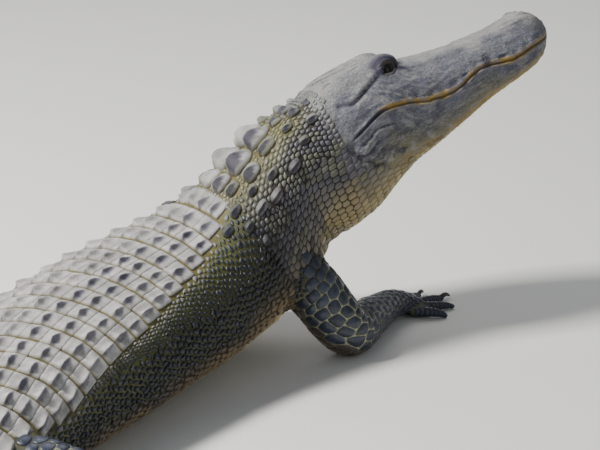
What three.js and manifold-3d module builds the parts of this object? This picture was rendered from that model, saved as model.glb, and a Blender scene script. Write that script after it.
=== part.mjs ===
// American alligator, life size, lying on its belly with the chest and head lifted.
// Millimetres and degrees; +X runs towards the head, +Y to the animal's left, +Z up.
// The floor is z = 0, and the origin is the middle of the flat on which the belly rests.
// A place along the body is "s": 0 at the hips, positive towards the head, negative down the tail.
import * as THREE from "three";
import { mergeVertices } from "three/addons/utils/BufferGeometryUtils.js";
import Module from "manifold-3d";

const wasm = await Module();
wasm.setup();

// Driving dimensions
const TAIL_LENGTH = 1290;
const SHOULDER_S = 700;
const NECK_END_S = 855;
const HEAD_LENGTH = 398;
const BELLY_S = 190;
const FLAT_DEPTH = 3;
const PART_GAP = 0.3;
const RING_POINTS = 28;

// Half width, height of the back and depth of the belly about the spine, at places along the body
const BODY_SIZES = [
  { s: -1290, half: 3, back: 5, belly: 5 },
  { s: -1180, half: 8, back: 15, belly: 12 },
  { s: -900, half: 19, back: 34, belly: 29 },
  { s: -600, half: 36, back: 50, belly: 42 },
  { s: -300, half: 60, back: 62, belly: 56 },
  { s: -150, half: 80, back: 74, belly: 66 },
  { s: -40, half: 96, back: 82, belly: 74 },
  { s: 160, half: 130, back: 94, belly: 86 },
  { s: 340, half: 150, back: 100, belly: 96 },
  { s: 500, half: 146, back: 96, belly: 108 },
  { s: 620, half: 132, back: 87, belly: 126 },
  { s: 700, half: 118, back: 83, belly: 140 },
  { s: 780, half: 106, back: 78, belly: 148 },
  { s: 855, half: 96, back: 72, belly: 118 },
];
const ROUNDNESS = { back: 2.15, belly: 2.5 };

// Heading in plan, and how far the belly is clear of the floor
const HEADINGS = [
  { s: -1290, yaw: -75 },
  { s: -900, yaw: -30 },
  { s: -450, yaw: 20 },
  { s: 0, yaw: 36 },
  { s: 300, yaw: 21 },
  { s: 600, yaw: 0 },
  { s: 855, yaw: -10 },
];
const LIFTS = [
  { s: -1290, lift: 0 },
  { s: 260, lift: 0 },
  { s: 400, lift: 5 },
  { s: 560, lift: 22 },
  { s: 640, lift: 42 },
  { s: 700, lift: 68 },
  { s: 780, lift: 118 },
  { s: 855, lift: 184 },
];
const HEAD_TURN = { yaw: -18, pitch: 19, roll: -16 };
const HEAD_TURN_START_S = 480;

// Smooth curve through rows, without overshoot between them
function track(rows, key, value) {
  const xs = rows.map((row) => row[key]);
  const ys = rows.map((row) => row[value]);
  const slopes = xs.slice(1).map((x, i) => (ys[i + 1] - ys[i]) / (x - xs[i]));
  const tangents = xs.map((_, i) => {
    const before = slopes[i - 1];
    const after = slopes[i];
    if (before === undefined || after === undefined) return before ?? after;
    return before * after <= 0 ? 0 : (2 * before * after) / (before + after);
  });
  return (x) => {
    const at = THREE.MathUtils.clamp(x, xs[0], xs[xs.length - 1]);
    const i = Math.max(0, Math.min(slopes.length - 1, xs.findIndex((v) => v > at) - 1));
    const k = at >= xs[xs.length - 1] ? slopes.length - 1 : i;
    const span = xs[k + 1] - xs[k];
    const t = (at - xs[k]) / span;
    const rise = t * t * (3 - 2 * t);
    return (
      ys[k] * (1 - rise) + ys[k + 1] * rise
      + span * t * (1 - t) * ((1 - t) * tangents[k] - t * tangents[k + 1])
    );
  };
}

const halfWidthAt = track(BODY_SIZES, "s", "half");
const backAt = track(BODY_SIZES, "s", "back");
const bellyAt = track(BODY_SIZES, "s", "belly");
const yawAt = track(HEADINGS, "s", "yaw");
const liftAt = track(LIFTS, "s", "lift");

const radians = THREE.MathUtils.degToRad;
const heightAt = (s) => bellyAt(s) - FLAT_DEPTH + liftAt(s);
const STEP = 5;

// Plan position of the spine, walked both ways from the middle of the belly's flat
function walkSpine() {
  const points = new Map([[BELLY_S, new THREE.Vector2(0, 0)]]);
  for (const way of [1, -1]) {
    const end = way > 0 ? NECK_END_S : -TAIL_LENGTH;
    for (let s = BELLY_S; s !== end; s += way * STEP) {
      const yaw = radians(yawAt(s + (way * STEP) / 2));
      const rise = heightAt(s + way * STEP) - heightAt(s);
      const run = way * Math.sqrt(Math.max(0, STEP * STEP - rise * rise));
      const from = points.get(s);
      points.set(s + way * STEP, new THREE.Vector2(from.x + run * Math.cos(yaw), from.y + run * Math.sin(yaw)));
    }
  }
  return points;
}
const SPINE = walkSpine();

function spinePoint(s) {
  const low = Math.floor(s / STEP) * STEP;
  const a = SPINE.get(low);
  const b = SPINE.get(low + STEP) ?? a;
  const t = (s - low) / STEP;
  return new THREE.Vector3(a.x + (b.x - a.x) * t, a.y + (b.y - a.y) * t, heightAt(s));
}

function turned(yaw, pitch, roll) {
  return new THREE.Quaternion().setFromEuler(new THREE.Euler(radians(roll), -radians(pitch), radians(yaw), "ZYX"));
}

// Place and axes of the body at s: x forward, y left, z up
function bodyFrame(s) {
  const ahead = spinePoint(Math.min(s + STEP, NECK_END_S));
  const behind = spinePoint(Math.max(s - STEP, -TAIL_LENGTH));
  const along = ahead.sub(behind);
  const pitch = THREE.MathUtils.radToDeg(Math.atan2(along.z, Math.hypot(along.x, along.y)));
  const turn = turned(yawAt(s), pitch, 0);
  const share = THREE.MathUtils.smoothstep(s, HEAD_TURN_START_S, NECK_END_S);
  turn.slerp(turned(HEAD_TURN.yaw, HEAD_TURN.pitch, HEAD_TURN.roll), share);
  return new THREE.Matrix4().compose(spinePoint(s), turn, new THREE.Vector3(1, 1, 1));
}
const HEAD_FRAME = bodyFrame(NECK_END_S);

// Outline of the head, from the jaw's hind end to the snout's tip: half widths and heights of the
// midline, the crown's edge, the cheek, the lip, the side of the lower jaw, its lower edge and the chin
const HEAD_SIZES = [
  { x: 0, top: 72, crown: 54, crownZ: 64, cheek: 88, cheekZ: 18, lip: 90, lipZ: -16, jaw: 86, jawZ: -52, edge: 66, edgeZ: -102, chin: -138 },
  { x: 42, top: 84, crown: 52, crownZ: 80, cheek: 88, cheekZ: 28, lip: 93, lipZ: 1, jaw: 91, jawZ: -38, edge: 66, edgeZ: -86, chin: -128 },
  { x: 90, top: 84, crown: 44, crownZ: 86, cheek: 82, cheekZ: 36, lip: 87, lipZ: 15, jaw: 85, jawZ: -28, edge: 61, edgeZ: -76, chin: -104 },
  { x: 130, top: 76, crown: 38, crownZ: 80, cheek: 75, cheekZ: 32, lip: 77, lipZ: 8, jaw: 76, jawZ: -28, edge: 56, edgeZ: -72, chin: -84 },
  { x: 165, top: 63, crown: 30, crownZ: 60, cheek: 67, cheekZ: 26, lip: 70, lipZ: -4, jaw: 68, jawZ: -32, edge: 50, edgeZ: -68, chin: -74 },
  { x: 205, top: 54, crown: 31, crownZ: 51, cheek: 61, cheekZ: 20, lip: 64, lipZ: -9, jaw: 61, jawZ: -32, edge: 43, edgeZ: -60, chin: -64 },
  { x: 265, top: 47, crown: 33, crownZ: 44, cheek: 56, cheekZ: 18, lip: 58, lipZ: 4, jaw: 54, jawZ: -18, edge: 36, edgeZ: -46, chin: -48 },
  { x: 320, top: 45, crown: 34, crownZ: 42, cheek: 53, cheekZ: 14, lip: 55, lipZ: -5, jaw: 50, jawZ: -19, edge: 31, edgeZ: -38, chin: -39 },
  { x: 358, top: 50, crown: 32, crownZ: 44, cheek: 48, cheekZ: 16, lip: 49, lipZ: -1, jaw: 43, jawZ: -14, edge: 26, edgeZ: -31, chin: -31 },
  { x: 382, top: 44, crown: 24, crownZ: 36, cheek: 35, cheekZ: 15, lip: 35, lipZ: 0, jaw: 29, jawZ: -9, edge: 16, edgeZ: -20, chin: -21 },
  { x: 398, top: 24, crown: 9, crownZ: 22, cheek: 12, cheekZ: 13, lip: 11, lipZ: 4, jaw: 8, jawZ: 1, edge: 5, edgeZ: -3, chin: -4 },
];
const headAt = Object.fromEntries(
  Object.keys(HEAD_SIZES[0]).filter((key) => key !== "x").map((key) => [key, track(HEAD_SIZES, "x", key)]),
);

const HEAD_SPANS = 12;
// Closed outline of the head at x, in the head's own axes, with "fine" points between each two of its named points
function headOutline(x, fine) {
  const at = (key) => headAt[key](x);
  const right = [
    [at("crown"), at("crownZ")],
    [at("cheek"), at("cheekZ")],
    [at("lip"), at("lipZ")],
    [at("jaw"), at("jawZ")],
    [at("edge"), at("edgeZ")],
  ];
  const named = [[0, at("top")], ...right.map(([y, z]) => [-y, z]), [0, at("chin")], ...right.reverse()];
  const curve = new THREE.CatmullRomCurve3(named.map(([y, z]) => new THREE.Vector3(0, y, z)), true, "centripetal");
  return Array.from({ length: HEAD_SPANS * fine }, (_, i) => curve.getPoint(i / (HEAD_SPANS * fine)));
}

// Distance from the middle to a closed outline, in the direction of an angle from +y towards +z
function outlineRadius(outline) {
  const rows = outline.map((p) => ({ angle: Math.atan2(p.z, p.y), r: Math.hypot(p.y, p.z) })).sort((a, b) => a.angle - b.angle);
  const first = { angle: rows[0].angle + 2 * Math.PI, r: rows[0].r };
  const last = { angle: rows[rows.length - 1].angle - 2 * Math.PI, r: rows[rows.length - 1].r };
  const ring = [last, ...rows, first];
  return (angle) => {
    const a = Math.atan2(Math.sin(angle), Math.cos(angle));
    const i = Math.max(1, ring.findIndex((row) => row.angle >= a));
    const t = (a - ring[i - 1].angle) / (ring[i].angle - ring[i - 1].angle);
    return ring[i - 1].r * (1 - t) + ring[i].r * t;
  };
}
const napeRadius = outlineRadius(headOutline(0, 8));

// Distance from the spine to the skin at s, in the direction of an angle
function bodyRadius(s, angle) {
  const c = Math.abs(Math.cos(angle));
  const z = Math.sin(angle);
  const power = z > 0 ? ROUNDNESS.back : ROUNDNESS.belly;
  const height = z > 0 ? backAt(s) : bellyAt(s);
  const round = ((c / halfWidthAt(s)) ** power + (Math.abs(z) / height) ** power) ** (-1 / power);
  const share = THREE.MathUtils.smoothstep(s, SHOULDER_S, NECK_END_S);
  return share > 0 ? round * (1 - share) + napeRadius(angle) * share : round;
}

function bodyPoint(s, angle, grow = 0) {
  const r = bodyRadius(s, angle) + grow;
  return new THREE.Vector3(0, r * Math.cos(angle), r * Math.sin(angle)).applyMatrix4(bodyFrame(s));
}

// Closed mesh through rings of points, each ring running the same way round
function loft(rings) {
  const n = rings[0].length;
  const middles = [rings[0], rings[rings.length - 1]].map((ring) =>
    ring.reduce((sum, p) => sum.add(p), new THREE.Vector3()).divideScalar(n));
  const points = [...rings.flat(), ...middles];
  const faces = [];
  for (let k = 0; k + 1 < rings.length; k++)
    for (let i = 0; i < n; i++) {
      const j = (i + 1) % n;
      faces.push(k * n + i, k * n + j, (k + 1) * n + j, k * n + i, (k + 1) * n + j, (k + 1) * n + i);
    }
  const last = (rings.length - 1) * n;
  for (let i = 0; i < n; i++) {
    const j = (i + 1) % n;
    faces.push(rings.length * n, j, i, rings.length * n + 1, last + i, last + j);
  }
  const geometry = new THREE.BufferGeometry().setFromPoints(points);
  return geometry.setIndex(faces);
}

// A three.js geometry as a solid, turned right side out
function solid(geometry) {
  const bare = geometry.clone();
  for (const name of Object.keys(bare.attributes)) if (name !== "position") bare.deleteAttribute(name);
  const merged = mergeVertices(bare, 1e-4);
  const triVerts = new Uint32Array(merged.index.array);
  const vertProperties = merged.attributes.position.array;
  const made = new wasm.Manifold(new wasm.Mesh({ numProp: 3, vertProperties, triVerts }));
  if (made.volume() >= 0) return made;
  for (let i = 0; i < triVerts.length; i += 3) [triVerts[i + 1], triVerts[i + 2]] = [triVerts[i + 2], triVerts[i + 1]];
  return new wasm.Manifold(new wasm.Mesh({ numProp: 3, vertProperties, triVerts }));
}

function joined(solids) {
  const whole = wasm.Manifold.union(solids);
  return whole.decompose().sort((a, b) => b.volume() - a.volume())[0];
}

function onFloor(body) {
  return body.trimByPlane([0, 0, 1], 0);
}

const range = (from, to, count) => Array.from({ length: count + 1 }, (_, i) => from + ((to - from) * i) / count);

// One length of the body between two places, a little short at each end so that neighbours don't touch
function bodyLength(from, to, count, grow = 0, ends = PART_GAP / 2) {
  const rings = range(from + ends, to - ends, count).map((s) =>
    range(0, 2 * Math.PI, RING_POINTS).slice(0, -1).map((angle) => bodyPoint(s, angle, grow)));
  return solid(loft(rings));
}

// Point and axes on the back at s, a distance round from the midline: x forward, y round to the left, z out
function backFrame(s, round) {
  const way = Math.sign(round) || 1;
  const turn = 0.01 * way;
  let angle = Math.PI / 2;
  let gone = 0;
  let here = bodyPoint(s, angle);
  while (gone < Math.abs(round)) {
    angle += turn;
    const next = bodyPoint(s, angle);
    gone += next.distanceTo(here);
    here = next;
  }
  const forward = bodyPoint(Math.min(s + STEP, NECK_END_S), angle).sub(bodyPoint(s - STEP, angle)).normalize();
  const side = bodyPoint(s, angle + 0.02).sub(bodyPoint(s, angle - 0.02)).normalize();
  const out = new THREE.Vector3().crossVectors(forward, side).normalize();
  const left = new THREE.Vector3().crossVectors(out, forward);
  return new THREE.Matrix4().makeBasis(forward, left, out).setPosition(here);
}

const SCUTE_ROOT = 7;
// Bony plate with a keel that rises towards the tail, its root sunk in the skin
function scute(frame, length, width, height, keel) {
  const box = new THREE.BoxGeometry(length, width, 1, 1, 2, 1);
  const place = box.attributes.position;
  for (let i = 0; i < place.count; i++) {
    const x = place.getX(i);
    const y = place.getY(i);
    const top = place.getZ(i) > 0;
    const onKeel = Math.abs(y) < 1e-6;
    const lift = onKeel ? height + keel * (x < 0 ? 1 : 0.25) : height;
    const inset = top ? 0.86 : 1;
    place.setXYZ(i, x * (top && onKeel ? 0.96 : inset), y * inset, top ? lift : -SCUTE_ROOT);
  }
  return solid(box.applyMatrix4(frame));
}

// Dorsal scutes of the trunk: rows from the shoulders to the hips
const FIRST_ROW_S = 640;
const ROW_PITCH = 42;
const TRUNK_ROWS = [4, 6, 6, 6, 6, 6, 6, 6, 6, 6, 6, 6, 6, 6, 4, 4, 4, 4];
const SCUTE_WIDTH = 40;
const SCUTE_KEEL = 12;

function vary(seed) {
  const wave = Math.sin(seed * 12.9898) * 43758.5453;
  return wave - Math.floor(wave) - 0.5;
}

function rowOfScutes(s, count, width, keel, seed) {
  return Array.from({ length: count }, (_, j) => {
    const column = j - (count - 1) / 2;
    const change = 1 + 0.12 * vary(seed * 10 + j);
    const keelHere = keel * change * (1 - 0.05 * Math.abs(column));
    return scute(backFrame(s, column * width * 1.04), ROW_PITCH * 0.94, width * 0.96, 2.5, keelHere);
  });
}

function trunkScutes(from, to) {
  return TRUNK_ROWS.flatMap((count, row) => {
    const s = FIRST_ROW_S - row * ROW_PITCH;
    return s > from && s < to ? rowOfScutes(s, count, SCUTE_WIDTH, SCUTE_KEEL, row) : [];
  });
}


// Tall keeled shields of the nape: place along the body, distance from the midline, length, width, keel
const NUCHALS = [
  { s: 762, round: 21, length: 40, width: 38, keel: 22 },
  { s: 762, round: 57, length: 32, width: 28, keel: 12 },
  { s: 722, round: 23, length: 42, width: 42, keel: 24 },
  { s: 722, round: 62, length: 34, width: 30, keel: 14 },
  { s: 682, round: 18, length: 34, width: 32, keel: 14 },
  { s: 822, round: 14, length: 18, width: 20, keel: 7 },
  { s: 818, round: 40, length: 18, width: 20, keel: 7 },
];
function napeScutes(from, to) {
  return NUCHALS.filter((row) => row.s > from && row.s < to).flatMap((row) =>
    [1, -1].map((side) => scute(backFrame(row.s, side * row.round), row.length, row.width, 4, row.keel)));
}

// Upright scutes of the tail: two crests that close to one
const CREST_PITCH = 36;
const CREST_JOIN_S = -650;
const CREST_ROWS = [
  { s: -1250, height: 8, round: 0 },
  { s: -1100, height: 20, round: 0 },
  { s: -900, height: 32, round: 0 },
  { s: -700, height: 36, round: 4 },
  { s: -500, height: 30, round: 24 },
  { s: -300, height: 22, round: 42 },
  { s: -120, height: 13, round: 56 },
];
const crestHeight = track(CREST_ROWS, "s", "height");
const crestRound = track(CREST_ROWS, "s", "round");
function fin(frame, height) {
  const box = new THREE.BoxGeometry(CREST_PITCH * 0.9, 9, 1);
  const place = box.attributes.position;
  for (let i = 0; i < place.count; i++) {
    const top = place.getZ(i) > 0;
    const x = place.getX(i);
    place.setXYZ(i, top ? x * 0.5 - height * 0.45 : x, place.getY(i) * (top ? 0.3 : 1), top ? height : -SCUTE_ROOT);
  }
  return solid(box.applyMatrix4(frame));
}
function tailCrest(from, to) {
  const fins = [];
  for (let s = -120; s > -1240; s -= CREST_PITCH) {
    if (s < from || s > to) continue;
    const sides = s > CREST_JOIN_S ? [1, -1] : [0];
    for (const side of sides) fins.push(fin(backFrame(s, side * crestRound(s)), crestHeight(s)));
  }
  return fins;
}

const HIP_END_S = -146;
const TRUNK_STEPS = 7;
const NECK_STEPS = 6;
const TAIL_STEPS = 6;
const trunkCut = FIRST_ROW_S - 7.5 * ROW_PITCH;

const nodes = [];
function node(name, body, color, roughness = 0.75) {
  nodes.push({ name, body, color, roughness });
}

const SKIN_GREY = 0x6d7166;
const SCUTE_PALE = 0xa3a292;
const BELLY_PALE = 0xb5a878;
const ARM_DARK = 0x30353a;
const EYE_DARK = 0x14120f;

// What lies between the cross-sections at two places, clear of each by half the gap
function between(body, from, to) {
  const cut = (s, way) => {
    const frame = bodyFrame(s);
    const normal = new THREE.Vector3(way, 0, 0).transformDirection(frame);
    const offset = new THREE.Vector3().setFromMatrixPosition(frame).dot(normal) + PART_GAP / 2;
    return [normal.toArray(), offset];
  };
  return body.trimByPlane(...cut(from, 1)).trimByPlane(...cut(to, -1));
}

function trunk(from, to) {
  return joined([between(wasm.Manifold.union([bodyLength(from, to, TRUNK_STEPS), ...trunkScutes(from, to), ...napeScutes(from, to), ...tailCrest(from, to)]), from, to)]);
}
const abdomen = trunk(HIP_END_S, trunkCut);
const chest = trunk(trunkCut, SHOULDER_S);
node("torso_abdomen", onFloor(abdomen), SKIN_GREY);
node("torso_chest", onFloor(chest), SKIN_GREY);
const nape = joined([
  between(wasm.Manifold.union([bodyLength(SHOULDER_S, NECK_END_S, NECK_STEPS), ...napeScutes(SHOULDER_S, NECK_END_S)]), SHOULDER_S, NECK_END_S),
]);
node("neck", nape, SCUTE_PALE);
const TAIL_CUTS = [HIP_END_S, -440, -740, -1020, -1289];
TAIL_CUTS.slice(1).forEach((end, i) => {
  const from = end;
  const to = TAIL_CUTS[i];
  const body = wasm.Manifold.union([bodyLength(from, to, TAIL_STEPS), ...tailCrest(from, to)]);
  node("tail_" + (i + 1), onFloor(joined([between(body, from, to)])), SKIN_GREY);
});

// Smooth solid round a line of stations, each { at, wide, deep } across and up, with an optional heading
const LIMB_POINTS = 12;
const TOE_POINTS = 6;
const CLAW_POINTS = 5;
function limb(stations, steps, points = LIMB_POINTS) {
  const line = new THREE.CatmullRomCurve3(stations.map((row) => new THREE.Vector3(...row.at)), false, "centripetal");
  const keys = stations.map((row, i) => ({ i, wide: row.wide, deep: row.deep }));
  const wideAt = track(keys, "i", "wide");
  const deepAt = track(keys, "i", "deep");
  const rings = range(0, 1, steps).map((t) => {
    const centre = line.getPoint(t);
    const along = line.getTangent(t);
    const side = new THREE.Vector3(0, 0, 1).cross(along);
    if (side.length() < 0.2) side.copy(SIDE_FALLBACK).addScaledVector(along, -SIDE_FALLBACK.dot(along));
    side.normalize();
    const up = new THREE.Vector3().crossVectors(along, side);
    const place = t * (stations.length - 1);
    return range(0, 2 * Math.PI, points).slice(0, -1).map((angle) => centre.clone()
      .addScaledVector(side, wideAt(place) * Math.cos(angle))
      .addScaledVector(up, deepAt(place) * Math.sin(angle)));
  });
  return solid(loft(rings));
}
const SIDE_FALLBACK = new THREE.Vector3(0, 1, 0);

// Head above and below the line of the mouth; the lips turn in where they meet
const LIP_CREASE = 3;
const CHIN = { short: 6, narrow: 0.6, shallow: 0.75, lower: 1 };
const HEAD_FINE = 2;
function headHalf(upper) {
  const places = HEAD_SIZES.flatMap((row, i) => (i ? [(HEAD_SIZES[i - 1].x + row.x) / 2, row.x] : [row.x]));
  const rings = places.map((place) => {
    const atChin = !upper && place === HEAD_LENGTH;
    const x = Math.max(atChin ? place - CHIN.short : place, PART_GAP / 2);
    const outline = headOutline(x, HEAD_FINE);
    const lip = 3 * HEAD_FINE;
    const lipZ = outline[lip].z;
    if (atChin) outline.forEach((p) => p.set(0, p.y * CHIN.narrow, lipZ + (p.z - lipZ) * CHIN.shallow - CHIN.lower));
    const n = outline.length;
    for (const i of [lip, n - lip]) outline[i].y -= Math.sign(outline[i].y) * Math.min(LIP_CREASE, Math.abs(outline[i].y) / 3);
    const half = upper ? [...outline.slice(n - lip), ...outline.slice(0, lip + 1)] : outline.slice(lip, n - lip + 1);
    const gap = upper ? PART_GAP / 2 : -PART_GAP / 2;
    half[0] = half[0].clone().setZ(half[0].z + gap);
    half[half.length - 1] = half[half.length - 1].clone().setZ(half[half.length - 1].z + gap);
    const middle = half[0].clone().add(half[half.length - 1]).multiplyScalar(0.5);
    return [...half, middle].map((p) => new THREE.Vector3(x, p.y, p.z));
  });
  return solid(loft(rings).applyMatrix4(HEAD_FRAME));
}

const EYE = { x: 124, y: 45, z: 62, radius: 15, steps: 12 };
const LID = { thick: 3.5, openLong: 12.5, openHigh: 7.5, openOut: 17, drop: -1, steps: 12 };
const BROW = { x: 118, y: 38, z: 69, long: 33, wide: 16, high: 20, steps: 10 };
const NOSTRIL = { x: 364, y: 13, z: 46, long: 9, wide: 5, high: 7, rim: 5, steps: 8 };
// Ear flap along the side of the skull's table: points from behind the eye to the hind corner
const EAR = { points: [[106, 60, 65], [72, 67, 61], [30, 66, 56]], ridge: 5, groove: 3, below: 6 };

function ball(radius, steps) {
  return new THREE.SphereGeometry(radius, steps, Math.round(steps / 2) + 1);
}

// A rounded form in the head's own axes
function headForm(at, sizes, steps) {
  return solid(ball(1, steps).scale(...sizes).translate(...at).applyMatrix4(HEAD_FRAME));
}

// A round rod along points in the head's own axes, thin at its ends
function headRod(points, radius) {
  const placed = points.map((p) => new THREE.Vector3(...p).applyMatrix4(HEAD_FRAME).toArray());
  const shares = points.map((_, i) => (i === 0 || i === points.length - 1 ? 0.5 : 1));
  return limb(placed.map((at, i) => ({ at, wide: radius * shares[i], deep: radius * shares[i] })), 5, 6);
}

const onSides = (make) => [1, -1].map(make);
const same = (value) => Array(3).fill(value);
const brows = onSides((side) => headForm([BROW.x, side * BROW.y, BROW.z], [BROW.long, BROW.wide, BROW.high], BROW.steps));
const lids = onSides((side) => headForm([EYE.x, side * EYE.y, EYE.z], same(EYE.radius + LID.thick), LID.steps));
const sockets = onSides((side) => headForm([EYE.x, side * EYE.y, EYE.z], same(EYE.radius + PART_GAP), EYE.steps));
const openings = onSides((side) => headForm(
  [EYE.x, side * (EYE.y + LID.openOut), EYE.z + LID.drop], [LID.openLong, LID.openOut, LID.openHigh], LID.steps));
const eyes = onSides((side) => headForm([EYE.x, side * EYE.y, EYE.z], same(EYE.radius), EYE.steps));
const nostrilRims = onSides((side) => headForm(
  [NOSTRIL.x - 2, side * NOSTRIL.y, NOSTRIL.z - 3], [NOSTRIL.long + NOSTRIL.rim, NOSTRIL.wide + NOSTRIL.rim, NOSTRIL.high + 2], NOSTRIL.steps));
const nostrils = onSides((side) => headForm(
  [NOSTRIL.x, side * NOSTRIL.y, NOSTRIL.z + 3], [NOSTRIL.long, NOSTRIL.wide, NOSTRIL.high], NOSTRIL.steps));
const earRidges = onSides((side) => headRod(EAR.points.map(([x, y, z]) => [x, side * y, z]), EAR.ridge));
const earGrooves = onSides((side) => headRod(EAR.points.map(([x, y, z]) => [x, side * (y + 2), z - EAR.below]), EAR.groove));
const skull = joined([headHalf(true), ...brows, ...lids, ...nostrilRims, ...earRidges]);
const hollows = wasm.Manifold.union([...sockets, ...openings, ...nostrils, ...earGrooves]);
node("head", joined([skull.subtract(hollows)]), SCUTE_PALE);
node("eye_left", eyes[0], EYE_DARK, 0.2);
node("eye_right", eyes[1], EYE_DARK, 0.2);
node("lower_jaw", headHalf(false), BELLY_PALE);

// The two sides of the plane that halves the bend at a joint, half the gap clear of it
function parted(body, before, joint, after) {
  const towards = new THREE.Vector3(...joint).sub(new THREE.Vector3(...before)).normalize();
  const onwards = new THREE.Vector3(...after).sub(new THREE.Vector3(...joint)).normalize();
  const normal = towards.add(onwards).normalize();
  const offset = new THREE.Vector3(...joint).dot(normal);
  return [
    body.trimByPlane(normal.clone().negate().toArray(), -offset + PART_GAP / 2),
    body.trimByPlane(normal.toArray(), offset + PART_GAP / 2),
  ];
}

// Point on level ground beside the body: ahead and left are measured from the spine at s
function beside(s, ahead, left, z) {
  const yaw = radians(yawAt(s));
  const spine = spinePoint(s);
  return [
    spine.x + ahead * Math.cos(yaw) - left * Math.sin(yaw),
    spine.y + ahead * Math.sin(yaw) + left * Math.cos(yaw),
    z,
  ];
}

function stepFrom(point, yaw, distance, z) {
  return [point[0] + distance * Math.cos(radians(yaw)), point[1] + distance * Math.sin(radians(yaw)), z];
}

// Toes of the fore and hind feet, from the inner one out: angle from the foot's heading and length from the wrist
const FORE = {
  palm: 46, wide: 25,
  toes: [
    { angle: 42, length: 78, claw: true },
    { angle: 20, length: 100, claw: true },
    { angle: 0, length: 112, claw: true },
    { angle: -20, length: 104, claw: false },
    { angle: -42, length: 82, claw: false },
  ],
  web: 0.4,
};
const HIND = {
  palm: 84, wide: 30,
  toes: [
    { angle: 20, length: 152, claw: true },
    { angle: 7, length: 174, claw: true },
    { angle: -6, length: 182, claw: true },
    { angle: -20, length: 166, claw: false },
  ],
  web: 0.55,
};
const TOE_SIZES = [9, 8.5, 6];
const CLAW = { length: 16, root: 4, tip: 0.8 };
const WEB_THICK = 4;

// Toes, claws and webs of a foot whose ankle or wrist is at "joint"; "side" is 1 for the left, -1 for the right
function toes(joint, yaw, side, kind) {
  const pieces = [];
  const tips = [];
  for (const toe of kind.toes) {
    const heading = yaw - side * toe.angle;
    const root = stepFrom(joint, heading, kind.palm * 0.55, TOE_SIZES[0] + 3);
    const knuckle = stepFrom(joint, heading, (kind.palm + toe.length) / 2, TOE_SIZES[1] + 1);
    const tip = stepFrom(joint, heading, toe.length, TOE_SIZES[2] - 1);
    pieces.push(limb([root, knuckle, tip].map((at, i) => ({ at, wide: TOE_SIZES[i], deep: TOE_SIZES[i] })), 3, TOE_POINTS));
    if (toe.claw) {
      const start = stepFrom(joint, heading, toe.length - 4, TOE_SIZES[2] + 0.5);
      const middle = stepFrom(joint, heading, toe.length + CLAW.length * 0.5, 6);
      const end = stepFrom(joint, heading, toe.length + CLAW.length, 2);
      const sizes = [CLAW.root, CLAW.root * 0.7, CLAW.tip];
      pieces.push(limb([start, middle, end].map((at, i) => ({ at, wide: sizes[i], deep: sizes[i] })), 2, CLAW_POINTS));
    }
    tips.push({ heading, length: toe.length });
  }
  tips.slice(1).forEach((next, i) => {
    const last = tips[i];
    const reach = (way, share) => kind.palm * 0.7 + (way.length - kind.palm * 0.7) * share;
    const between = (last.heading + next.heading) / 2;
    const plan = [
      stepFrom(joint, last.heading, kind.palm * 0.6, 0),
      stepFrom(joint, last.heading, reach(last, kind.web + 0.1), 0),
      stepFrom(joint, between, reach(last, kind.web - 0.12), 0),
      stepFrom(joint, next.heading, reach(next, kind.web + 0.1), 0),
      stepFrom(joint, next.heading, kind.palm * 0.6, 0),
    ];
    pieces.push(solid(loft([2, 2 + WEB_THICK].map((z) => plan.map(([x, y]) => new THREE.Vector3(x, y, z))))));
  });
  return pieces;
}

const bodyGrown = wasm.Manifold.union([
  bodyLength(SHOULDER_S, NECK_END_S, NECK_STEPS, PART_GAP, 0),
  bodyLength(trunkCut, SHOULDER_S, TRUNK_STEPS, PART_GAP, 0),
  bodyLength(HIP_END_S, trunkCut, TRUNK_STEPS, PART_GAP, 0),
  bodyLength(TAIL_CUTS[1], HIP_END_S, TAIL_STEPS, PART_GAP, 0),
]);

// A whole limb as three parts: root, middle and foot
function limbParts(names, stations, bends, yaw, side, kind, color) {
  const body = limb(stations, (stations.length - 1) * 2);
  const at = (i) => stations[i].at;
  const [upper, rest] = parted(body, at(bends[0] - 1), at(bends[0]), at(bends[0] + 1));
  const [middle, end] = parted(rest, at(bends[1] - 1), at(bends[1]), at(bends[1] + 1));
  const [, toesOnly] = parted(wasm.Manifold.union(toes(at(bends[1]), yaw, side, kind)), at(bends[1] - 1), at(bends[1]), at(bends[1] + 1));
  node(names[0], onFloor(joined([upper.subtract(bodyGrown).subtract(abdomen).subtract(chest)])), color);
  node(names[1], onFloor(joined([middle.subtract(bodyGrown)])), color);
  node(names[2], onFloor(joined([end, toesOnly])), color);
}

// Shoulder, elbow and wrist, then the palm, of each foreleg
const RIGHT_ARM = { shoulder: [462, 22, 170], elbow: [545, -38, 42], wrist: [698, 28, 26], yaw: 4 };
const LEFT_ARM = { shoulder: [455, 165, 170], elbow: [405, 262, 46], wrist: [505, 335, 26], yaw: 16 };

function mix(a, b, t) {
  return a.map((v, i) => v + (b[i] - v) * t);
}

function foreleg(side, arm) {
  const name = side > 0 ? "left_" : "right_";
  const palm = stepFrom(arm.wrist, arm.yaw, FORE.palm, 14);
  const stations = [
    { at: arm.shoulder, wide: 40, deep: 40 },
    { at: mix(arm.shoulder, arm.elbow, 0.5), wide: 42, deep: 44 },
    { at: arm.elbow, wide: 36, deep: 40 },
    { at: mix(arm.elbow, arm.wrist, 0.5), wide: 30, deep: 31 },
    { at: arm.wrist, wide: 25, deep: 21 },
    { at: palm, wide: FORE.wide, deep: 13 },
  ];
  limbParts([name + "upper_arm", name + "forearm", name + "hand"], stations, [2, 4], arm.yaw, side, FORE, ARM_DARK);
}
foreleg(-1, RIGHT_ARM);
foreleg(1, LEFT_ARM);

const HIP_S = -45;
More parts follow.
